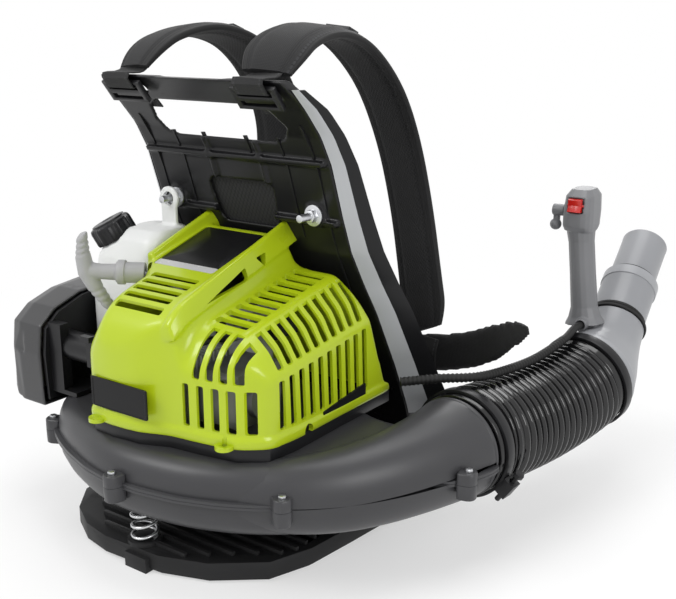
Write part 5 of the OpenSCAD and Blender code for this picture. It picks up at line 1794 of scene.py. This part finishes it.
@dataclass
class Starter:
    """The pull handle, its rope and the guide that they sit in."""

    shop: Workshop
    rope: float = 1.6
    reach: float = 44.0

    def handle(self) -> bpy.types.Object:
        """The two-armed pull handle with finger grooves.

        Returns:
            The handle.
        """
        grip = EXIT + PULL * 53
        bar = unit((0.18, 0.23, -0.957))
        made = Solid("pull_handle_moulded")
        rings = []
        for s in np.linspace(-self.reach, self.reach, 90):
            a = abs(s) * 50 / self.reach
            one = level([(0, 11), (22, 9.5), (44, 8), (48, 6.5), (50, 4.2)], a)
            two = level([(0, 9), (22, 8), (44, 6), (48, 4.8), (50, 3.4)], a)
            drop = level([(0, -2), (22, 2), (44, 10), (50, 14)], a)
            for groove in (24, 31, 38):
                one -= 0.9 * math.exp(-((a - groove) / 1.5) ** 2)
                two -= 1.1 * math.exp(-((a - groove) / 1.5) ** 2)
            rings.append(placed(circle(one, 28, two), grip + bar * s - PULL * drop * 0.8, bar, PULL))
        made.skin(rings)
        body = made.build(60)
        stem = Solid("stem")
        stem.lathe(
            [(9.5, -34), (9.6, -33), (8.6, -28), (8.2, -14), (9.4, -4), (10.0, 3), (9.0, 6)], grip, PULL, 40
        )
        carve(body, stem.build(60), "UNION")
        melt(body, 0.8, 3)
        hole = Solid("hole")
        hole.lathe([(2.3, -60), (2.3, 0.5), (5.5, 1.5), (5.5, 20)], grip, PULL, 32)
        carve(body, hole.build(60))
        shade(body, 50)
        return body

    def build(self) -> None:
        """Makes and dresses the starter."""
        s = self.shop
        s.fit(self.handle(), "starter_grip", "grip_grey", [GRIP_GREY], "pull_handle")
        line = Solid("rope_braided")
        path = np.array([(26, -63.6, 264.5), (-10, -66.2, 268), tuple(EXIT - PULL * 6), tuple(EXIT + PULL * 24), tuple(EXIT + PULL * 53)])
        line.tube(resample(path, 3.0), self.rope, 14)
        knot = EXIT + PULL * 54.5
        ring = [knot + point(2.2 * math.cos(a), 0.9 * math.sin(2 * a), 2.2 * math.sin(a)) for a in np.linspace(0, 2 * math.pi, 25)]
        line.tube(np.array(ring), 1.7, 10)
        s.fit(line.build(60), "starter_grip", "rope_white", [ROPE], "starter_rope")
        s.soften("rope_guide", GRIP_GREY, "power_unit", "grip_grey", 0.8)


# ---------------------------------------------------------------- tank and air box
@dataclass
class FuelTank:
    """The milky tank with its neck, cap and fuel line."""

    shop: Workshop
    neck: tuple[float, float, float] = (-144.0, -22.0, 288.0)
    way: tuple[float, float, float] = (-0.36, -0.30, 0.88)

    def tank(self) -> bpy.types.Object:
        """The blow-moulded tank.

        Returns:
            The tank.
        """
        made = Solid("tank_moulded")
        table = np.array(
            [(150.2, 12, 8), (158, 2, 10), (180, 0, 12), (240, 0, 12), (284, 6, 14), (306, 18, 14), (316, 34, 10)],
            float
        )
        rings = []
        for z in np.concatenate(
            [np.linspace(150.2, 158, 4), np.linspace(164, 280, 12), np.linspace(284, 316, 12)]
        ):
            q = float(np.interp(z, table[:, 0], table[:, 1]))
            x0, x1, y0 = -170 + q * 1.1, -72 - q * 0.2, -56 + q * 0.7
            y1 = front_y(float(z)) - 12 - q * 0.1
            flat = rounded([(x0, y0), (x1, y0), (x1, y1), (x0, y1)], 18, 6)
            rings.append(np.column_stack([flat, np.full(len(flat), z)]))
        made.skin(rings)
        body = made.build(60)
        way, neck = unit(self.way), point(*self.neck)
        flat = Solid("flat")
        flat.lathe([(26.2, 13), (26.2, 73)], neck, way, 48)
        carve(body, flat.build(40))
        add = Solid("neck")
        add.lathe([(19, -10), (19, 26)], neck, way, 48)
        add.block((-97, 5.5, 323), (22, 5, 46))
        add.lathe([(14, 0), (14, 5)], (-96.5, 3, 346), (0, 1, 0), 48)
        add.block((-128, -23, 144), (60, 50, 16))
        carve(body, add.build(40), "UNION")
        melt(body, 1.8, 6)
        hole = Solid("hole")
        hole.lathe([(8, -13), (8, 30)], (-96.5, 3, 346), (0, 1, 0), 40)
        hole.lathe([(16, 0), (16, 40)], neck, way, 48)
        carve(body, hole.build(40))
        shade(body, 45)
        return body

    def cap(self) -> bpy.types.Object:
        """The black cap with broad finger facets.

        Returns:
            The cap.
        """
        way = unit(self.way)
        seat = point(*self.neck) + way * 14
        made = Solid("fuel_cap_moulded")
        side = unit(np.cross((0, 0, 1), way))
        over = np.cross(way, side)
        rings = []
        for r, h, lobes in ((19.1, 12.2, 0), (19.1, 0, 0), (22.5, 0, 0.3), (23.6, 0.8, 1), (24.2, 2.5, 1), (24.2, 16, 1), (23.4, 19, 1),
                            (21.6, 20.4, 0.6), (20, 21, 0), (19.6, 22.6, 0), (18.2, 23, 0), (8, 23.2, 0), (6.5, 22.4, 0), (0.5, 22.4, 0)):
            ring = []
            for k in range(96):
                a = 2 * math.pi * k / 96
                lobe = 1.4 * max(0.0, math.cos(12 * a)) ** 0.5 if lobes else 0.0
                rad = r + lobes * (lobe - 0.7)
                ring.append(seat + way * h + side * rad * math.cos(a) + over * rad * math.sin(a))
            rings.append(np.array(ring))
        made.skin(rings, caps=True)
        return made.build(35)

    def build(self) -> None:
        """Makes and dresses the tank."""
        s = self.shop
        s.fit(self.tank(), "power_unit", "tank_translucent", [TANK], "fuel_tank")
        s.fit(self.cap(), "cap_body", "black_shell", [BLACK_PART], "fuel_cap")
        line = Solid("fuel_hose")
        line.tube(
            spline([(-104, -56.6, 176), (-104, -66, 172), (-96, -74, 160), (-84, -86, 154), (-82, -94, 160.6)], 8),
            2.6, 16
        )
        s.fit(line.build(60), "power_unit", "amber_tube", [AMBER], "fuel_line")


@dataclass
class AirBox:
    """The air filter cover."""

    shop: Workshop

    def build(self) -> None:
        """Makes and dresses the cover."""
        s = self.shop
        cover = melt(s.copy("air_cover", "air_cover_moulded"), 1.6, 3)
        s.fit(cover, "cover_body", "black_shell", [COVER_BLACK], "air_cover")


# ---------------------------------------------------------------- hose, tube and handle
HOSE = [(240, 74, 108), (249, 140, 107), (263, 205, 108), (276, 265, 115), (285, 318, 125)]
HOSE_END = point(285, 318, 125)
HOSE_WAY = unit((0.16, 0.96, 0.20))
TUBE_FOOT = point(286, 350, 137)
TUBE_WAY = unit((-0.08, 0.84, 0.54))
BEND = ((245, 120, 108), (281, 290, 120))  # where the hose starts and stops bending


@dataclass
class AirHose:
    """The ribbed hose between the outlet and the tube."""

    shop: Workshop
    ribs: int = 19
    crest: float = 56.9
    valley: float = 53.2
    cuff: float = 54.9

    def line(self) -> tuple[np.ndarray, np.ndarray]:
        """The hose's middle, and the length along it.

        Returns:
            Points and lengths.
        """
        fine = spline(HOSE, 5)[4:-4]
        pts = [DUCT + DUCT_WAY * 11, DUCT + DUCT_WAY * 38, *fine, HOSE_END - HOSE_WAY * 28, HOSE_END]
        path = np.array(pts)
        return path, np.concatenate([[0], np.cumsum(np.linalg.norm(np.diff(path, axis=0), axis=1))])

    def spot(self, s: float) -> tuple[np.ndarray, np.ndarray]:
        """Point and direction at a length along the hose."""
        path, lengths = self.line()
        total = float(lengths[-1])

        def at(d: float) -> np.ndarray:
            """Point at a length."""
            return np.array([np.interp(d, lengths, path[:, k]) for k in range(3)])

        ahead = DUCT_WAY if s <= 26.5 else HOSE_WAY if s >= total - 27.5 else unit(
            at(min(total, s + 14)) - at(max(0, s - 14))
        )
        return at(s), ahead

    def hose(self) -> bpy.types.Object:
        """The hose with round ribs and smooth cuffs.

        Returns:
            The hose.
        """
        total = float(self.line()[1][-1])
        pitch = (total - 58) / (self.ribs - 0.4)
        stops: list[tuple[float, float]] = [
            (0, 51.5), (0, self.cuff - 0.6), (0.6, self.cuff), (24.6, self.cuff), (25.4, self.cuff - 0.7)
        ]
        for i in range(self.ribs):
            for k in range(8):
                f = k / 8
                swell = math.sin(math.pi * min(1.0, f / 0.62)) ** 0.7 if f < 0.62 else 0.0
                stops.append((28.2 + (i + f) * pitch, self.valley + (self.crest - self.valley) * swell))
        stops += [(total - 26.4, self.cuff - 0.7), (total - 25.6, self.cuff), (total - 0.6, self.cuff), (total, self.cuff - 0.6),
                  (total, 51.5)]
        rings = []
        for s, r in stops:
            p, t = self.spot(min(max(s, 0.0), total))
            rings.append(placed(circle(r, 72), p, t, (0, 0, 1)))
        made = Solid("air_hose_ribbed")
        made.skin(rings, caps=False)
        inner = []
        for s in np.linspace(0, total, 14):
            p, t = self.spot(float(s))
            inner.append(placed(circle(50.6, 72), p, t, (0, 0, 1)))
        made.skin(inner[::-1], caps=False)
        obj = made.build(50, weld=False)
        return obj

    def build(self) -> None:
        """Makes and dresses the hose and its clamps."""
        s = self.shop
        s.span(self.hose(), ("power_unit", "tube"), *BEND, "gloss_black_hose", HOSE_BLACK, "flex_hose")
        s.soften("duct_clamp", BLACK_PART, "power_unit", "black_shell", 0.8)
        s.soften("tube_clamp", BLACK_PART, "tube", "black_shell", 0.8)


@dataclass
class AirTube:
    """The silver sleeve, the tube with its rubber bands, and the nozzle."""

    shop: Workshop

    def tube(self) -> bpy.types.Object:
        """Sleeve and tube in one.

        Returns:
            The tube.
        """
        made = Solid("air_tube_moulded")
        rows = [(HOSE_END - HOSE_WAY * 30, HOSE_WAY, 46.5), (HOSE_END - HOSE_WAY * 30, HOSE_WAY, 49.8), (HOSE_END + HOSE_WAY * 0.6, HOSE_WAY, 49.8),
                (HOSE_END + HOSE_WAY * 0.9, HOSE_WAY, 53.4), (HOSE_END + HOSE_WAY * 1.6, HOSE_WAY, 54), (
                    HOSE_END + HOSE_WAY * 8.2, HOSE_WAY, 54
                ),
                (HOSE_END + HOSE_WAY * 9.2, HOSE_WAY, 53.2)]
        key = [(HOSE_END + HOSE_WAY * 9.2, HOSE_WAY, 53.0), (TUBE_FOOT - TUBE_WAY * 9 + point(-1, 0, 2), unit(HOSE_WAY * 0.75 + TUBE_WAY * 0.5), 48),
               (TUBE_FOOT + TUBE_WAY * 14, unit(HOSE_WAY * 0.2 + TUBE_WAY), 41), (
                   TUBE_FOOT + TUBE_WAY * 36, TUBE_WAY, 37.5
               ),
               (TUBE_FOOT + TUBE_WAY * 56, TUBE_WAY, 36.5)]
        pts = spline([k[0] for k in key], 8)
        ways = spline([k[1] for k in key], 8)
        radii = spline([(k[2], 0, 0) for k in key], 8)[:, 0]
        rows += [(p, unit(w), float(r)) for p, w, r in zip(pts, ways, radii)][1:]
        up = TUBE_FOOT + TUBE_WAY * 56
        rows += [(up + TUBE_WAY * h, TUBE_WAY, r) for r, h in ((34, 1), (34, 61), (34.3, 62), (35.4, 62.6), (35.5, 75.4), (34.9, 76), (31.5, 76),
                                                               (29.3, 75), (29.3, 2), (33, 1.6))]
        made.skin([placed(circle(r, 72), p, t, (0, 0, 1)) for p, t, r in rows], caps=False)
        made.brush = 1
        for h, r in ((57, 38.6), (64, 35.6)):
            c = TUBE_FOOT + TUBE_WAY * h
            made.lathe(
                [(33.8, 0), (r - 0.6, 0), (r, 0.7), (r, 3.4), (r - 0.6, 4.1), (33.8, 4.1)], c, TUBE_WAY, 72,
                looped=True
            )
        return made.build(40, weld=False)

    def nozzle(self) -> bpy.types.Object:
        """The turning nozzle.

        Returns:
            The nozzle.
        """
        made = Solid("nozzle_moulded")
        foot = TUBE_FOOT + TUBE_WAY * 114
        out = [(26.6, 0), (28.6, 0), (29, 0.6), (29, 18.2)]
        made.lathe([*out, (29, 22.6), (28.9, 60), (29, 86), (29.3, 88), (29.3, 89.6), (28.9, 90), (27, 90), (26.6, 89.5), (26.6, 0)],
                   foot, TUBE_WAY, 72, caps=False)
        made.brush = 1
        made.lathe(
            [(28.8, 18.4), (31.4, 18.4), (32, 19), (32, 21.8), (31.4, 22.4), (28.8, 22.4)], foot, TUBE_WAY,
            72, looped=True
        )
        made.brush = 0
        pin = foot + TUBE_WAY * 7
        side = unit(np.cross(TUBE_WAY, (1, 0, 0)))
        made.lathe([(2.4, 20), (2.4, 32.8), (1.8, 33.5)], pin, side if side[2] < 0 else -side, 24)
        return made.build(40, weld=False)

    def build(self) -> None:
        """Makes and dresses tube and nozzle."""
        s = self.shop
        s.fit(self.tube(), "tube", "silver_trim", [TUBE_GREY, RUBBER], "upper_tube")
        s.fit(self.nozzle(), "nozzle_body", "tube_grey", [TUBE_GREY, RUBBER], "nozzle")


@dataclass
class ControlHandle:
    """The control handle with its trigger, cruise lever, stop switch and throttle conduit."""

    shop: Workshop
    conduit: float = 5.2
    route: tuple[tuple[float, float, float], ...] = (
        (176, 62, 170), (206, 86, 173), (238, 112, 174), (250, 150, 172), (262, 205, 173), (270, 262, 181), (
            268, 296, 185
        ),
        (266, 316, 184), (266, 330, 184))

    def cable(self) -> bpy.types.Object:
        """The corrugated conduit over the throttle cable.

        Returns:
            The conduit; its route is kept in self.path.
        """
        route = spline(self.route, 4)
        path = resample(spline(route, 3), 1.15)
        lengths = np.concatenate([[0], np.cumsum(np.linalg.norm(np.diff(path, axis=0), axis=1))])
        split = float(np.interp(20, np.arange(len(route)), np.concatenate([[0], np.cumsum(np.linalg.norm(np.diff(route, axis=0), axis=1))])))
        radii = []
        for i, d in enumerate(lengths):
            if d < split:
                radii.append(4.3 + 0.9 * (0.5 + 0.5 * math.cos(d * 2 * math.pi / 4.6)))
            else:
                radii.append(4.6)
        made = Solid("throttle_conduit_corrugated")
        made.tube(path, radii, 16)
        obj = made.build(60)
        self.run = float(lengths[-1]) * MM
        self.path = [tuple(p * MM) for p in path[::4]] + [tuple(path[-1] * MM)]
        return obj

    def build_cable(self) -> None:
        """Makes the conduit, which comes before other pieces."""
        s = self.shop
        obj = s.span(self.cable(), ("power_unit", "tube"), *BEND, "black_rubber", RUBBER, "throttle_conduit")
        LOG.info("%s: %.3f m long", obj.name, self.run)

    def build(self) -> None:
        """Makes and dresses the handle."""
        s = self.shop
        handle = melt(s.copy("control_handle", "control_handle_moulded"), 1.0, 3)
        s.fit(handle, "tube", "silver_trim", [HANDLE_GREY], "control_handle")
        s.soften("trigger", BLACK_PART, "trigger_body", "black_acetal", 0.8)
        s.soften("cruise_lever", HANDLE_GREY, "cruise_body", "silver_trim", 0.8)
        s.soften("stop_switch", SWITCH_RED, "switch_body", "red_switch", 0.5)


# ---------------------------------------------------------------- studio
@dataclass
class Studio:
    """Floor, lights and camera."""

    shop: Workshop
    eye: tuple[float, float, float] = (0.7027, -0.7812, 0.5372)
    azimuth: float = 35.8
    elevation: float = 15.6
    lens: float = 53.25
    fill: float = 0.55  # the sky's share in the light on the part

    def camera(self) -> None:
        """Sets the camera at its viewing angle."""
        a, e = math.radians(self.azimuth), math.radians(self.elevation)
        back = Vector((math.sin(a) * math.cos(e), -math.cos(a) * math.cos(e), math.sin(e)))
        right = Vector((math.cos(a), math.sin(a), 0.0))
        up = back.cross(right)
        data = bpy.data.cameras.new("camera")
        data.lens = self.lens
        data.sensor_width = 36.0
        data.clip_start, data.clip_end = 0.02, 50.0
        obj = bpy.data.objects.new("camera", data)
        bpy.context.scene.collection.objects.link(obj)
        turn = Matrix((right, up, back)).transposed().to_4x4()
        obj.matrix_world = Matrix.Translation(Vector(self.eye)) @ turn
        bpy.context.scene.camera = obj

    def lamp(self, name: str, spot: Sequence[float], aim: Sequence[float], size: float, power: float) -> None:
        """Adds one soft lamp.

        Args:
            name: its name.
            spot: where it is, in metres.
            aim: what it faces.
            size: its width.
            power: its power in watts.
        """
        data = bpy.data.lights.new(name, "AREA")
        data.shape = "RECTANGLE"
        data.size, data.size_y = size, size * 0.75
        data.energy = power
        obj = bpy.data.objects.new(name, data)
        bpy.context.scene.collection.objects.link(obj)
        obj.location = spot
        obj.rotation_mode = "QUATERNION"
        obj.rotation_quaternion = (Vector(aim) - Vector(spot)).to_track_quat("-Z", "Y")

    def build(self) -> None:
        """Makes floor, world and lamps."""
        made = Solid("floor")
        made.skin([np.array([(-9000, -9000, z), (9000, -9000, z), (9000, 9000, z), (-9000, 9000, z)]) for z in (-6, -0.2)])
        floor = made.build(20)
        floor.data.materials.append(self.shop.material(Ground()))
        sh = Shader("studio", sky=True)
        bpy.context.scene.world = sh.material
        path = sh.node("ShaderNodeLightPath")
        seen = path["Is Camera Ray"] + path["Is Glossy Ray"] + path["Is Transmission Ray"]
        glow = sh.node("ShaderNodeMapRange", None, {0: seen, "To Min": self.fill, "To Max": 1.0})[0]
        sh.set(Color=(1.0, 1.0, 1.0), Strength=glow)
        self.lamp("key", (-0.9, -1.6, 1.9), (0.0, 0.0, 0.2), 1.3, 26)
        self.lamp("side", (1.9, -0.6, 1.2), (0.1, 0.1, 0.25), 1.0, 14)
        self.lamp("top", (0.1, 0.4, 2.2), (0.1, 0.1, 0.2), 1.4, 16)
        self.lamp("rear", (-0.6, 2.0, 1.3), (0.1, 0.2, 0.3), 1.2, 12)


def main() -> None:
    """Builds the whole blower."""
    logging.basicConfig(level=logging.INFO, format="%(name)s: %(message)s")
    bpy.context.scene.view_settings.view_transform = "Standard"
    for obj in list(bpy.data.objects):
        bpy.data.objects.remove(obj)
    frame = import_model()
    shop = Workshop(frame)
    studio = Studio(shop)
    studio.camera()
    handle = ControlHandle(shop)
    handle.build_cable()
    for part in (CarryFrame(shop), Harness(shop), BaseSprings(shop), FanHousing(shop), Engine(shop), Shroud(shop), Starter(shop),
                 FuelTank(shop), AirBox(shop), AirHose(shop), AirTube(shop), handle, studio):
        part.build()
        LOG.info("finished %s", type(part).__name__)


if __name__ == "__main__":
    main()
